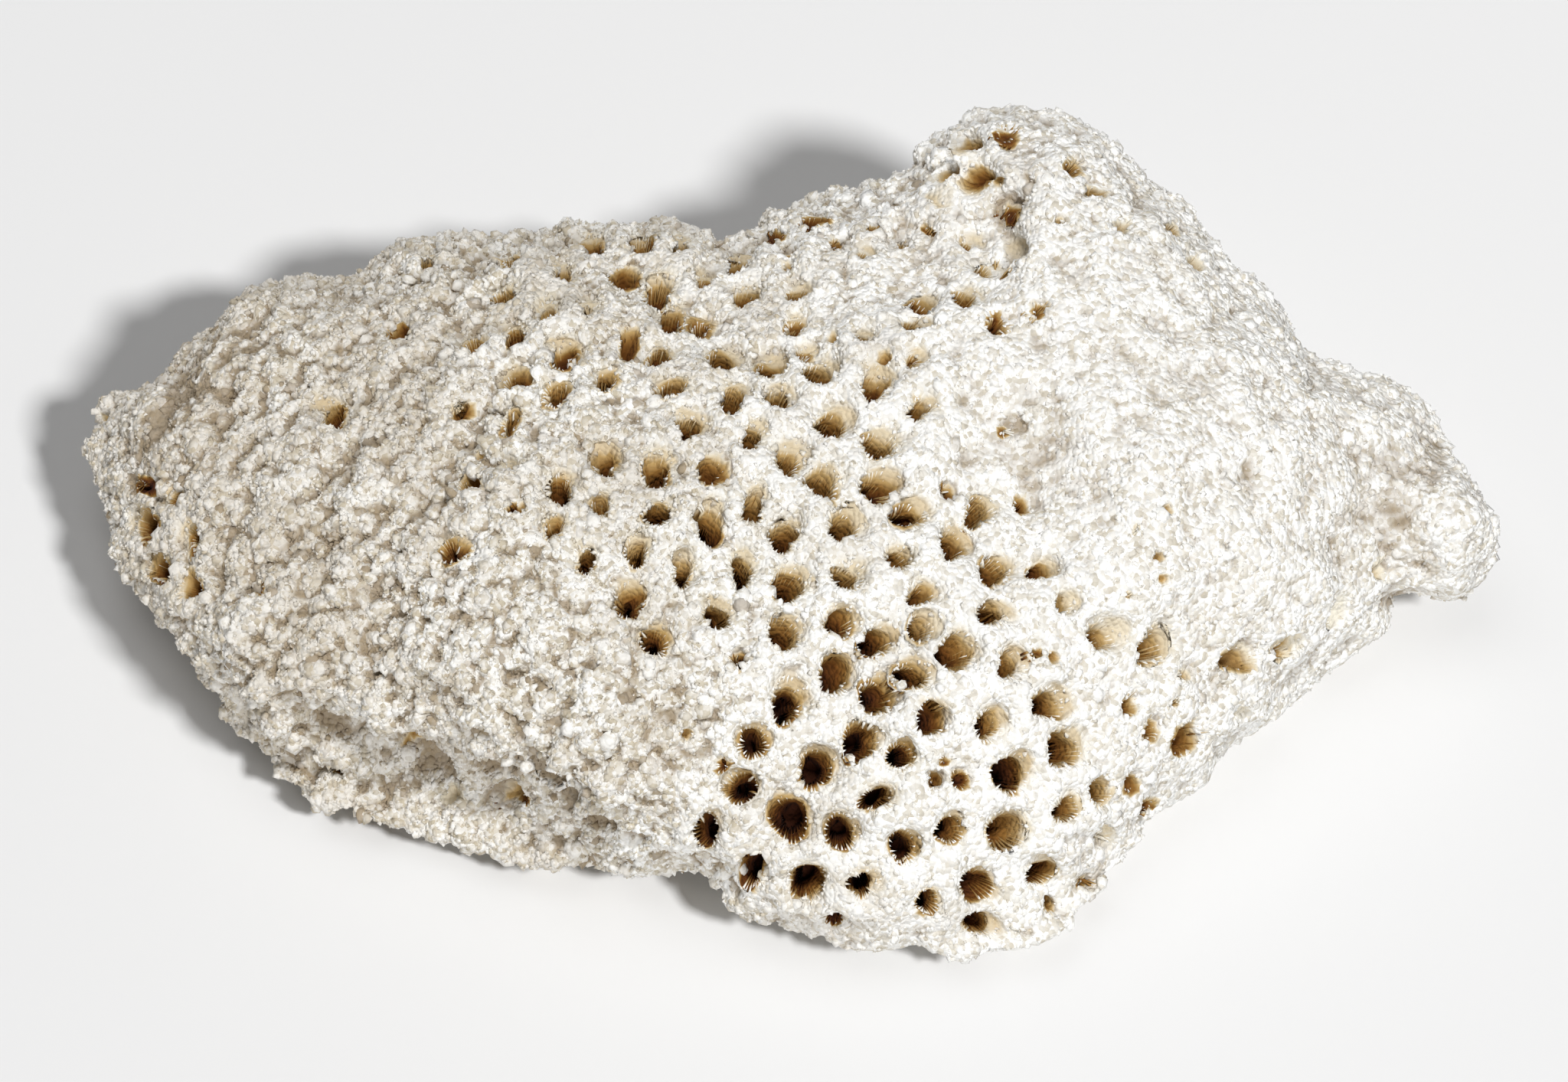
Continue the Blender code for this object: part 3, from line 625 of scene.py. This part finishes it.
# Painted shade and dirt: the deeper a crease or hollow, the more it is painted tan.
for steps, depth, part in HOLLOW_SIZES:
    gap = skin.spread_often(skin.points, steps) - skin.points
    shade_and_dirt += part * np.clip((gap * skin.normals).sum(axis=1) / depth, -1.0, 1.0)
# The scoops under the front ledge get painted shade.
shade_and_dirt = np.clip(shade_and_dirt, -1.0, 1.0) * by_side(*HOLLOW_SIDES) + SCOOP_SHADE * scooped
shade_and_dirt = shade_and_dirt - PALER_COLLAR * collar - PALER_SLOPE * wear
for place, width, strength in TAN_SPOTS:
    shade_and_dirt += SPOT_TAN * strength * spot(place, width, 2)
say("share of points in hollows:", round(float((shade_and_dirt > 0.3).mean()), 2))

# %% [markdown]
# ### How dark each calice is
#
# The tubes are brown inside, stain and painted shade in one, some nearly black and some hardly at
# all, because they are filled to different heights. Each gets a chance value, which is raised at
# the front and at the left edge and lowered at the right end. The few that stand out have their
# place listed, in millimetres.

# %% Stain of each calice

DARK = [(16.1, -22.7, 18.5), (5.7, -22.9, 16.2), (1.7, -24.5, 14.1), (7.0, -26.6, 13.3),
        (11.6, -27.2, 16.6), (13.4, -8.7, 24.1), (-38.4, 6.8, 21.3), (-26.6, 11.6, 24.6),
        (-23.3, 12.7, 25.4), (-27.6, -9.7, 24.9), (-44.3, -8.8, 18.5)]
PALE = [(-13.8, 11.4, 26.0), (-14.4, 20.4, 23.4), (-27.8, 4.4, 25.5), (-6.6, -3.0, 27.2),
        (-12.6, -10.5, 25.9), (10.8, -16.2, 23.5), (25.8, -24.9, 11.4), (26.2, -26.4, 7.1),
        (5.9, -32.1, 8.5), (17.8, -28.7, 11.0), (25.9, -15.3, 20.7), (30.2, -14.9, 18.7),
        (33.3, -18.6, 10.9)]
STAIN_RANGE = (0.62, 0.9)  # the chance values
LEFT_STAIN, DARK_STAIN, PALE_STAIN, SEALED_STAIN = 1.0, 1.0, 0.5, 0.05
FRONT_STAIN = (0.35, -12.0 * MM, 10.0 * MM)  # how much more at the front, from which Y, how soon
RIGHT_STAIN = (0.6, 20.0 * MM, 9.0 * MM)  # how much less at the right end, from which X, how soon
LONE_STAIN = 0.7  # of pits that are far from any mouth
LEAST_STAIN = 0.1  # of ribs

chance = np.random.default_rng(3)
stains = chance.uniform(*STAIN_RANGE, len(calices))
mouths = np.array([calice.mouth for calice in calices])
stains[mouths[:, 0] < STRAIGHT_LEFT * MM] = LEFT_STAIN
stains += FRONT_STAIN[0] * np.clip((FRONT_STAIN[1] - mouths[:, 1]) / FRONT_STAIN[2], 0.0, 1.0)
stains -= RIGHT_STAIN[0] * np.clip((mouths[:, 0] - RIGHT_STAIN[1]) / RIGHT_STAIN[2], 0.0, 1.0)
for places, value in ((DARK, DARK_STAIN), (PALE, PALE_STAIN), (SEALED, SEALED_STAIN)):
    for place in places:
        index = nearest_calice(place)
        if index is not None:
            stains[index] = value
stain = np.where(owner >= 0, stains[owner], LONE_STAIN)
stains = np.maximum(stains, LEAST_STAIN)
say("stains from", round(stains.min(), 2), "to", round(stains.max(), 2))

# %% [markdown]
# ### The body
#
# The carved skin has more faces than a model should carry. The Decimate modifier removes the ones
# that lie nearly flat and keeps those in the creases. The lists are then read again at the points
# that are left, from the nearest point of the full skin.

# %% Body piece

BODY_FACES = 192_000
BODY_TONE = (0.42, 0.15, 0.4)  # how white the left side is, how much whiter the right and the rims; the darker left is beige stone and painted shade, the whiter rims a painted highlight


def set_attribute(mesh, name, values):
    layer = mesh.attributes.new(name, "FLOAT", "POINT")
    layer.data.foreach_set("value", values.astype(np.float32))


def thinned(mesh, faces):
    piece = mesh_object("thinned", mesh.copy())
    modifier = piece.modifiers.new("fewer", "DECIMATE")
    modifier.ratio = min(1.0, faces / (2 * len(mesh.polygons)))
    return applied(piece)


body_mesh = thinned(skin.mesh, BODY_FACES)
body_mesh.validate()
finder = KDTree(skin.size)
for index, point in enumerate(skin.points.tolist()):
    finder.insert(point, index)
finder.balance()
flat = np.empty(3 * len(body_mesh.vertices), dtype=np.float32)
body_mesh.vertices.foreach_get("co", flat)
source = np.array([finder.find(point)[1] for point in flat.reshape(-1, 3).tolist()])
# The left side is painted darker, beige stone and painted shade in one, and the rims whiter, a
# painted highlight.
tone = BODY_TONE[0] + BODY_TONE[1] * (1.0 - leftness) + BODY_TONE[2] * collar
for name, values in (("down", down), ("shade_and_dirt", shade_and_dirt), ("stain", stain), ("tone", tone)):
    set_attribute(body_mesh, name, values[source])
body_mesh.shade_smooth()
body = mesh_object("coral_body", body_mesh)
body_mesh.calc_loop_triangles()
say("body of", len(body_mesh.loop_triangles), "triangles")

# %% [markdown]
# ### Many small things as one mesh
#
# Ribs and grains come in thousands. Objects of their own would be slow, and particles or instances
# are lost when the model is exported. So one small shape is copied as arrays: all the copies'
# points are worked out in one go and handed to a single mesh.

# %% Copies joined in one mesh


def joined(name, shapes, faces, values):
    """One mesh from copies: shapes is (copies, points, 3), and faces are triangles of one copy."""
    copies, size, _ = shapes.shape
    all_faces = (faces[None] + size * np.arange(copies)[:, None, None]).reshape(-1, 3)
    shapes[:, :, 2] = np.maximum(shapes[:, :, 2], 0.0)
    mesh = bpy.data.meshes.new(name)
    mesh.vertices.add(copies * size)
    mesh.vertices.foreach_set("co", shapes.astype(np.float32).ravel())
    mesh.loops.add(all_faces.size)
    mesh.loops.foreach_set("vertex_index", all_faces.astype(np.int32).ravel())
    mesh.polygons.add(len(all_faces))
    mesh.polygons.foreach_set("loop_start", np.arange(0, all_faces.size, 3, dtype=np.int32))
    mesh.update(calc_edges=True)
    for key, value in values.items():
        set_attribute(mesh, key, np.broadcast_to(value, (copies, size)).ravel())
    say(name, "has", copies, "copies and", len(all_faces), "triangles")
    return mesh_object(name, mesh)


# %% [markdown]
# ### Ribs in the tubes
#
# Each calice has about twenty-four upright ribs, the septa, that stand inwards from the wall like
# the teeth of a gear, long and short in turn. A rib here is a wedge: five three-cornered sections
# from the mouth to near the floor. Its inner edge moves in and out by chance from section to
# section, which gives the jagged teeth that show against the dark tube. On the worn side the teeth
# are gone. The wall is no longer a plain tube after the carving, so a ray is cast outwards from the
# tube's middle to find it.

# %% Ribs

RIBS = 24  # in a tube, and half as many in a cup
UNEVEN = 0.22  # how unevenly they stand, as a share of the gap between two
LEVELS = np.array((0.0, 0.07, 0.22, 0.5, 1.0))  # where a rib's sections are, from top to end
SECTIONS = len(LEVELS)
TOP_STEP = 0.16 * MM  # how finely the top of the wall is felt for
TOP_STEPS = (-2, 9)  # from which step to which, where 0 is at the mouth
RIB_END = 0.9  # how far down a rib goes, as a share of the depth
RIB_DARKENING = 0.9  # below 1, the stain and painted shade on a rib deepen faster at the top
RIB_WIDTH = 0.24 * MM
RIB_REACH = (0.40 * MM, 0.22 * MM)  # of the long ribs and of the short ones
FULL_REACH = 1.1 * MM  # in calices that are narrower than this, ribs are shorter
RIB_STRENGTH = (1.0, 0.9, 0.6, 0.5, 0.4)  # how far a rib reaches at each section
WORN_LEVELS = 2  # so many sections are gone altogether where the mouth is worn
DEEP_RIBS = 0.15  # how much of a rib is left there deeper down
RIB_ROOT = 0.12 * MM  # how deep a rib is rooted in the wall
FAR_WALL = 1.3  # a wall further out than this, in radii, is not this tube's
NO_WALL = 0.8  # where a rib's wall is taken to be if there is none, in radii
REACH_CHANCE, JAGGED, WIDTH_CHANCE = (0.6, 1.2), (0.45, 1.2), (0.7, 1.2)
RIB_TONES = (0.4, 1.0)


def rib_faces():
    faces = [(0, 1, 2)]
    for low in range(0, 3 * (SECTIONS - 1), 3):
        for side in range(3):
            a, b = low + side, low + (side + 1) % 3
            faces += [(a, a + 3, b + 3), (a, b + 3, b)]
    last = 3 * (SECTIONS - 1)
    return np.array(faces + [(last + 2, last + 1, last)])


def tube_middle(calice, along):
    return calice.mouth + along * calice.axis - min(along, 0.0) * calice.lean * TUBE_LEAN


def wall_distance(calice, angle, along):
    """How far out the wall is at this angle and height, or None where there is no wall."""
    u, v = math.cos(angle) * calice.radii[0], math.sin(angle) * calice.radii[1]
    way = u * calice.short + v * calice.long
    start = tube_middle(calice, along)
    hit = wall_tree.ray_cast(Vector(start), Vector(way), FAR_WALL * math.hypot(u, v))
    return hit[3]


def rib(calice, angle, reach, chance):
    """The three corners of each section of one rib, or None where there is no wall."""
    top = next((step for step in range(*TOP_STEPS)
                if wall_distance(calice, angle, -step * TOP_STEP) is not None), None)
    if top is None:
        return None
    top_height, end_height = -top * TOP_STEP, -RIB_END * calice.depth
    heights = top_height + LEVELS * (end_height - top_height)
    way = (math.cos(angle) * calice.radii[0] * calice.short
           + math.sin(angle) * calice.radii[1] * calice.long)
    way /= np.linalg.norm(way)
    sideways = np.cross(calice.axis, way)
    fade = 1.0 - float(np.clip(way @ worn_side(calice.mouth), 0.0, 1.0))
    corners = np.empty((SECTIONS, 3, 3))
    for level, height in enumerate(heights):
        wall = wall_distance(calice, angle, height)
        if wall is None:
            wall = NO_WALL * calice.radii.mean()
        left = fade if level < WORN_LEVELS else DEEP_RIBS + (1.0 - DEEP_RIBS) * fade
        inner = wall - reach * chance.uniform(*JAGGED) * RIB_STRENGTH[level] * left
        half = 0.5 * RIB_WIDTH * chance.uniform(*WIDTH_CHANCE)
        middle = tube_middle(calice, height)
        corners[level] = (middle + (wall + RIB_ROOT) * way - half * sideways,
                          middle + inner * way,
                          middle + (wall + RIB_ROOT) * way + half * sideways)
    return corners


wall_tree = BVHTree.FromPolygons(
    skin.points.tolist(), [tuple(face.vertices) for face in skin.mesh.polygons])
rib_shapes, rib_stains = [], []
for calice, value in zip(calices, stains):
    if calice.sealed or calice.broken:
        continue
    count = RIBS if calice.is_tube else RIBS // 2
    turn = chance.uniform(0, 2 * math.pi)
    for number in range(count):
        angle = turn + 2 * math.pi * (number + chance.uniform(-UNEVEN, UNEVEN)) / count
        reach = RIB_REACH[number % 2] * chance.uniform(*REACH_CHANCE)
        reach *= min(1.0, calice.radii.min() / FULL_REACH)
        corners = rib(calice, angle, reach, chance)
        if corners is not None:
            rib_shapes.append(corners)
            rib_stains.append(value)
rib_shapes = np.array(rib_shapes).reshape(len(rib_shapes), 3 * SECTIONS, 3)
# Each rib is painted darker with depth, as the wall is: stain and painted shade.
ribs = joined("coral_ribs", rib_shapes, rib_faces(), {
    "down": np.repeat(RIB_END * LEVELS ** RIB_DARKENING, 3),
    "shade_and_dirt": 0.0,
    "stain": np.array(rib_stains)[:, None],
    "tone": chance.uniform(*RIB_TONES, (len(rib_stains), 1)),
})

# %% [markdown]
# ### Grains
#
# The whole surface is crusted with grains, from a third of a millimetre to a millimetre and a half.
# They are what makes it sparkle like sugar. The small ones are sharp crystals with eight sides, the
# larger ones rounded crumbs with twenty. Each is stretched and turned by chance and sunk halfway or
# deeper into the stone. Chance places would be drawn towards small faces, so each face is chosen by
# its area. The right side has fewer grains, and their tones are evened out.

# %% Grain shapes and places

KINDS = 16  # how many kinds of the same shape there are
KIND_CHANCE = (0.62, 1.28)  # how far their corners are moved in or out
STRETCH = (0.6, 1.3)
SMALL_MORE = 1.6  # above 1, small sizes are chosen more often than large ones
FLOOR_GAP = 0.3 * MM  # no grains are set lower than this
UNDERSIDE = (-0.25, 0.35)  # below which slope a face is of the underside, and its share of grains
GRAIN_SIDES = (0.7, 0.6)  # how many grains the right side gets, and how many more the left one
CRYSTAL_SIDES = (0.6, 0.6)  # and how the crystals differ from that
EVEN_TONES = 0.5  # how much more alike the right side's tones are
GRAIN_DOWN, GRAIN_HOLLOW = 0.35, 0.8  # how much of the stone's tube stain and painted shade, and of its hollows' painted shade and dirt, a grain has
RIM_HIGHLIGHT = 0.3  # how much whiter the grains on a rim are painted, a painted highlight


def crystal():
    """The points and faces of one small grain, and whether it is rounded."""
    points = np.array([(1, 0, 0), (-1, 0, 0), (0, 1, 0), (0, -1, 0), (0, 0, 1), (0, 0, -1)], float)
    faces = [(0, 2, 4), (2, 1, 4), (1, 3, 4), (3, 0, 4), (2, 0, 5), (1, 2, 5), (3, 1, 5), (0, 3, 5)]
    return points, np.array(faces), False


def crumb():
    """The same of a large one."""
    mesh = bmesh.new()
    bmesh.ops.create_icosphere(mesh, subdivisions=1, radius=1.0)
    points = np.array([vertex.co[:] for vertex in mesh.verts])
    faces = np.array([[vertex.index for vertex in face.verts] for face in mesh.faces])
    mesh.free()
    return points, faces, True


def turns(count, chance):
    """Random rotations, as matrices, from random quaternions."""
    turned = chance.normal(size=(count, 4))
    w, x, y, z = turned.T / np.linalg.norm(turned, axis=1)
    rows = [[1 - 2 * (y * y + z * z), 2 * (x * y - z * w), 2 * (x * z + y * w)],
            [2 * (x * y + z * w), 1 - 2 * (x * x + z * z), 2 * (y * z - x * w)],
            [2 * (x * z - y * w), 2 * (y * z + x * w), 1 - 2 * (x * x + y * y)]]
    return np.moveaxis(np.array(rows), 2, 0)


skin.mesh.calc_loop_triangles()
triangles = np.empty(3 * len(skin.mesh.loop_triangles), dtype=np.int32)
skin.mesh.loop_triangles.foreach_get("vertices", triangles)
triangles = triangles.reshape(-1, 3)
corner_points = skin.points[triangles]
first = corner_points[:, 0]
across = np.cross(corner_points[:, 1] - first, corner_points[:, 2] - first)
area = 0.5 * np.linalg.norm(across, axis=1)
facing = across[:, 2] / (2 * area)
face_down = down[triangles].mean(axis=1)
weight = area * np.where(facing < UNDERSIDE[0], UNDERSIDE[1], 1.0)
weight *= 1.0 - smooth[triangles].mean(axis=1)
weight *= corner_points[:, :, 2].mean(axis=1) > FLOOR_GAP
weight *= by_side(*GRAIN_SIDES)[triangles[:, 0]]
say("surface", round(area.sum() / MM / MM), "square mm")


def even_out(tones, seat):
    """The right side's grains are all nearly white, the left side's are mixed."""
    mixed = 1.0 - EVEN_TONES * (1.0 - leftness[seat][:, None])
    return 1.0 - mixed * (1.0 - tones)


def grains(name, count, template, sizes, sunk, deepest, chance):
    """Grains between two sizes, sunk by a share of their size, none of them far down a tube."""
    points, faces, is_rounded = template
    odds = weight * (face_down < deepest)
    if not is_rounded:
        odds = odds * by_side(*CRYSTAL_SIDES)[triangles[:, 0]]
    chosen = chance.choice(len(odds), count, p=odds / odds.sum())
    mix = chance.dirichlet((1, 1, 1), count)
    place = (corner_points[chosen] * mix[:, :, None]).sum(axis=1)
    normal = across[chosen] / (2 * area[chosen, None])
    seat = triangles[chosen, 0]
    size = sizes[0] + (sizes[1] - sizes[0]) * chance.random(count) ** SMALL_MORE
    kinds = points * chance.uniform(*KIND_CHANCE, (KINDS, len(points), 1))
    stretch = chance.uniform(*STRETCH, (count, 1, 3)) * size[:, None, None] / 2
    shapes = kinds[chance.integers(0, KINDS, count)] * stretch
    shapes = np.einsum("cij,cpj->cpi", turns(count, chance), shapes)
    shapes += (place - normal * sunk * size[:, None])[:, None]
    tones = even_out(chance.random((count, 1)), seat)
    # Grains take the tubes' stain and painted shade, the hollows' painted shade and dirt, and on
    # rims a painted highlight.
    piece = joined(name, shapes, faces, {
        "down": GRAIN_DOWN * down[seat][:, None],
        "shade_and_dirt": GRAIN_HOLLOW * shade_and_dirt[seat][:, None],
        "stain": stain[seat][:, None],
        "tone": tones + RIM_HIGHLIGHT * collar[seat][:, None],
    })
    if is_rounded:
        piece.data.shade_smooth()
    return piece


crumbs = grains("coral_crumbs", 9_500, crumb(), (0.6 * MM, 1.6 * MM), 0.28, 0.02, chance)
pebbles = grains("coral_pebbles", 9_300, crumb(), (0.42 * MM, 0.95 * MM), 0.14, 0.04, chance)
crystals = grains("coral_crystals", 24_000, crystal(), (0.3 * MM, 0.65 * MM), 0.03, 0.10, chance)

# %% [markdown]
# ### Small helpers for nodes
#
# A material is a network of nodes. These helpers add one node each, join what is handed to them,
# and return the socket that the next node needs, so that a material reads like a recipe.

# %% Node helpers


def join(tree, value, socket):
    if isinstance(value, bpy.types.NodeSocket):
        tree.links.new(value, socket)
    else:
        socket.default_value = value


def attribute(tree, name):
    node = tree.nodes.new("ShaderNodeAttribute")
    node.attribute_name = name
    return node.outputs["Fac"]


def mix_colour(tree, factor, first, second):
    node = tree.nodes.new("ShaderNodeMix")
    node.data_type = "RGBA"
    for socket, value in ((0, factor), (6, first), (7, second)):
        join(tree, value, node.inputs[socket])
    return node.outputs[2]


def maths(tree, operation, first, second):
    node = tree.nodes.new("ShaderNodeMath")
    node.operation = operation
    for socket, value in enumerate((first, second)):
        join(tree, value, node.inputs[socket])
    return node.outputs[0]


def ramp(tree, factor, stops):
    """A colour for each place between 0 and 1. A plain number in the stops stands for a grey."""
    node = tree.nodes.new("ShaderNodeValToRGB")
    ends = node.color_ramp.elements
    while len(ends) < len(stops):
        ends.new(0.5)
    for end, (place, colour) in zip(ends, stops):
        end.position = place
        end.color = (colour, colour, colour, 1.0) if isinstance(colour, float) else colour
    tree.links.new(factor, node.inputs["Fac"])
    return node.outputs["Color"]


def noise_field(tree, where, width, detail, roughness):
    node = tree.nodes.new("ShaderNodeTexNoise")
    node.inputs["Scale"].default_value = 1.0 / width
    node.inputs["Detail"].default_value = detail
    node.inputs["Roughness"].default_value = roughness
    tree.links.new(where, node.inputs["Vector"])
    return node.outputs["Fac"]


# %% [markdown]
# ### Sugar
#
# The finest grains are a third of a millimetre and less, too many for a mesh. A Voronoi texture
# splits the surface into cells of that size. The distance to a cell's middle makes a small bump,
# and the cell's own random colour makes one grain whiter than the next. Body, ribs and grains all
# need it, so it is a node group, built once.

# %% Sugar group

SUGAR_WIDTH, SUGAR_HEIGHT = 0.42 * MM, 0.2 * MM


def new_group(name, inputs, outputs):
    """An empty node group, with what it is given and what it is wanted to give."""
    group = bpy.data.node_groups.new(name, "ShaderNodeTree")
    for direction, sockets in (("INPUT", inputs), ("OUTPUT", outputs)):
        for label, kind in sockets:
            group.interface.new_socket(label, in_out=direction, socket_type=kind)
    given = group.nodes.new("NodeGroupInput").outputs
    wanted = group.nodes.new("NodeGroupOutput").inputs
    return group, given, wanted


sugar, given, wanted = new_group(
    "sugar", [("Bump", "NodeSocketFloat")],
    [("Tone", "NodeSocketFloat"), ("Normal", "NodeSocketVector")])
place = sugar.nodes.new("ShaderNodeTexCoord").outputs["Object"]
grain = sugar.nodes.new("ShaderNodeTexVoronoi")
grain.inputs["Scale"].default_value = 1.0 / SUGAR_WIDTH
sugar.links.new(place, grain.inputs["Vector"])
split = sugar.nodes.new("ShaderNodeSeparateColor")
sugar.links.new(grain.outputs["Color"], split.inputs["Color"])
sugar.links.new(split.outputs["Red"], wanted["Tone"])
bump = sugar.nodes.new("ShaderNodeBump")
bump.inputs["Distance"].default_value = SUGAR_HEIGHT
sugar.links.new(maths(sugar, "SUBTRACT", 1.0, grain.outputs["Distance"]), bump.inputs["Height"])
sugar.links.new(given["Bump"], bump.inputs["Strength"])
sugar.links.new(bump.outputs["Normal"], wanted["Normal"])
say("group", sugar.name, "with", len(sugar.nodes), "nodes")

# %% [markdown]
# ### The brown of the tubes
#
# The colour deepens from cream at the mouth to dark brown at the floor: partly the tubes' stain,
# partly painted shade, darker the further down. How far down a point is and how strongly its calice
# is stained are multiplied, and a colour ramp turns the result into colour.

# %% Tube stain and shade group

TUBE_STAIN_AND_SHADE = [(0.0, (0.82, 0.78, 0.67, 1.0)), (0.06, (0.69, 0.59, 0.42, 1.0)),
          (0.15, (0.46, 0.31, 0.125, 1.0)), (0.30, (0.26, 0.130, 0.028, 1.0)),
          (0.5, (0.155, 0.056, 0.0075, 1.0)), (0.75, (0.085, 0.023, 0.003, 1.0)),
          (1.0, (0.045, 0.010, 0.002, 1.0))]
STAIN_EDGE = [(0.0, 0.0), (0.09, 1.0)]  # how the stain and painted shade take over from the stone's own colour

tube_stain_and_shade, given, wanted = new_group(
    "tube_stain_and_shade", [("Down", "NodeSocketFloat"), ("Stain", "NodeSocketFloat")],
    [("Colour", "NodeSocketColor"), ("Mask", "NodeSocketFloat")])
# Stain and painted shade: the deeper a point lies in a tube, the darker the ramp paints it.
amount = maths(tube_stain_and_shade, "MULTIPLY", given["Down"], given["Stain"])
tube_stain_and_shade.links.new(ramp(tube_stain_and_shade, amount, TUBE_STAIN_AND_SHADE), wanted["Colour"])
tube_stain_and_shade.links.new(ramp(tube_stain_and_shade, given["Down"], STAIN_EDGE), wanted["Mask"])
say("group", tube_stain_and_shade.name, "with", len(tube_stain_and_shade.nodes), "nodes")

# %% [markdown]
# ### The stone's own colour
#
# On top the stone is nearly white. Its hollows are tan, partly dirt and partly painted shade, and
# the left side has broad beige patches, beige stone and painted shade in one. Each grain is a
# little lighter or darker than the next.

# %% Stone colour group

CREAM = (0.56, 0.50, 0.385, 1.0)
WHITE = (0.95, 0.945, 0.92, 1.0)
TAN = (0.31, 0.235, 0.145, 1.0)
BEIGE = (0.50, 0.43, 0.33, 1.0)
WHITENING = [(0.2, 0.0), (0.62, 1.0)]  # how the tone turns cream into white
PATCH_WIDTH, PATCH_DETAIL, PATCH_ROUGHNESS = 9 * MM, 5.0, 0.62
PATCHES = [(0.42, 0.0), (0.75, 0.45)]  # how the patches turn white into beige
LEFT_SHIFT = -4.5  # how quickly the patches grow towards the left, per metre
DIRT_AND_SHADE = [(0.0, 0.0), (1.0, 0.85)]  # how hollows turn tan, with dirt and painted shade

stone_colour, given, wanted = new_group(
    "stone_colour",
    [("Tone", "NodeSocketFloat"), ("Sugar", "NodeSocketFloat"), ("Hollow", "NodeSocketFloat")],
    [("Colour", "NodeSocketColor")])
tree = stone_colour
place = tree.nodes.new("ShaderNodeTexCoord").outputs["Object"]
mean_tone = maths(tree, "MULTIPLY", maths(tree, "ADD", given["Tone"], given["Sugar"]), 0.5)
colour = mix_colour(tree, ramp(tree, mean_tone, WHITENING), CREAM, WHITE)
split = tree.nodes.new("ShaderNodeSeparateXYZ")
tree.links.new(place, split.inputs["Vector"])
field = noise_field(tree, place, PATCH_WIDTH, PATCH_DETAIL, PATCH_ROUGHNESS)
# The patches grow towards the left, which is painted beiger: beige stone and painted shade.
field = maths(tree, "ADD", field, maths(tree, "MULTIPLY", split.outputs["X"], LEFT_SHIFT))
colour = mix_colour(tree, ramp(tree, field, PATCHES), colour, BEIGE)
# Painted shade and dirt: hollows are mixed towards tan.
colour = mix_colour(tree, ramp(tree, given["Hollow"], DIRT_AND_SHADE), colour, TAN)
tree.links.new(colour, wanted["Colour"])
say("group", stone_colour.name, "with", len(stone_colour.nodes), "nodes")

# %% [markdown]
# ### Materials
#
# Body, ribs and grains are the same stone, and differ only in how strong the finest bump is. The
# places in the tubes, the hollows and the tones ride on the meshes as attributes, so they stay with
# the surface in the exported model.

# %% Materials

DULLNESS = 0.25  # how much the stone mirrors, where 0.5 is usual


def stone_material(name, bump):
    material = plain_material(name, CREAM)
    tree = material.node_tree
    placed = []
    for group in (sugar, tube_stain_and_shade, stone_colour):
        node = tree.nodes.new("ShaderNodeGroup")
        node.node_tree = group
        placed.append(node)
    grain, stain, colour = placed
    grain.inputs["Bump"].default_value = bump
    for key, node, socket in (("down", stain, "Down"), ("stain", stain, "Stain"),
                              ("tone", colour, "Tone"), ("shade_and_dirt", colour, "Hollow")):
        tree.links.new(attribute(tree, key), node.inputs[socket])
    tree.links.new(grain.outputs["Tone"], colour.inputs["Sugar"])
    final = mix_colour(tree, stain.outputs["Mask"],
                       colour.outputs["Colour"], stain.outputs["Colour"])
    shader = tree.nodes["Principled BSDF"]
    shader.inputs["Specular IOR Level"].default_value = DULLNESS
    tree.links.new(final, shader.inputs["Base Color"])
    tree.links.new(grain.outputs["Normal"], shader.inputs["Normal"])
    return material


# Each finish has its material, with the strength of the finest bump, and the pieces that wear it.
finishes = [(stone_material("coral_stone", 1.0), (body,)),
            (stone_material("coral_ribs", 0.5), (ribs,)),
            (stone_material("coral_grains", 0.6), (crumbs, pebbles, crystals))]
for material, pieces in finishes:
    for piece in pieces:
        piece.data.materials.append(material)
        for lit in coral_lit:
            lit.objects.link(piece)
        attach(piece, "root")
        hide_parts("coral")
    say(material.name, "on", ", ".join(piece.name for piece in pieces))

# %% [markdown]
# ### Size
#
# The dressed lump should be as large as the solid, give or take a grain. Both boxes are written
# down to be compared.

# %% Boxes

dressed_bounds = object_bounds()
sizes = [[[float(c) for c in corner] for corner in box] for box in (solid_bounds, dressed_bounds)]
say("boxes in mm:", [[[round(c / MM, 2) for c in corner] for corner in box] for box in sizes])
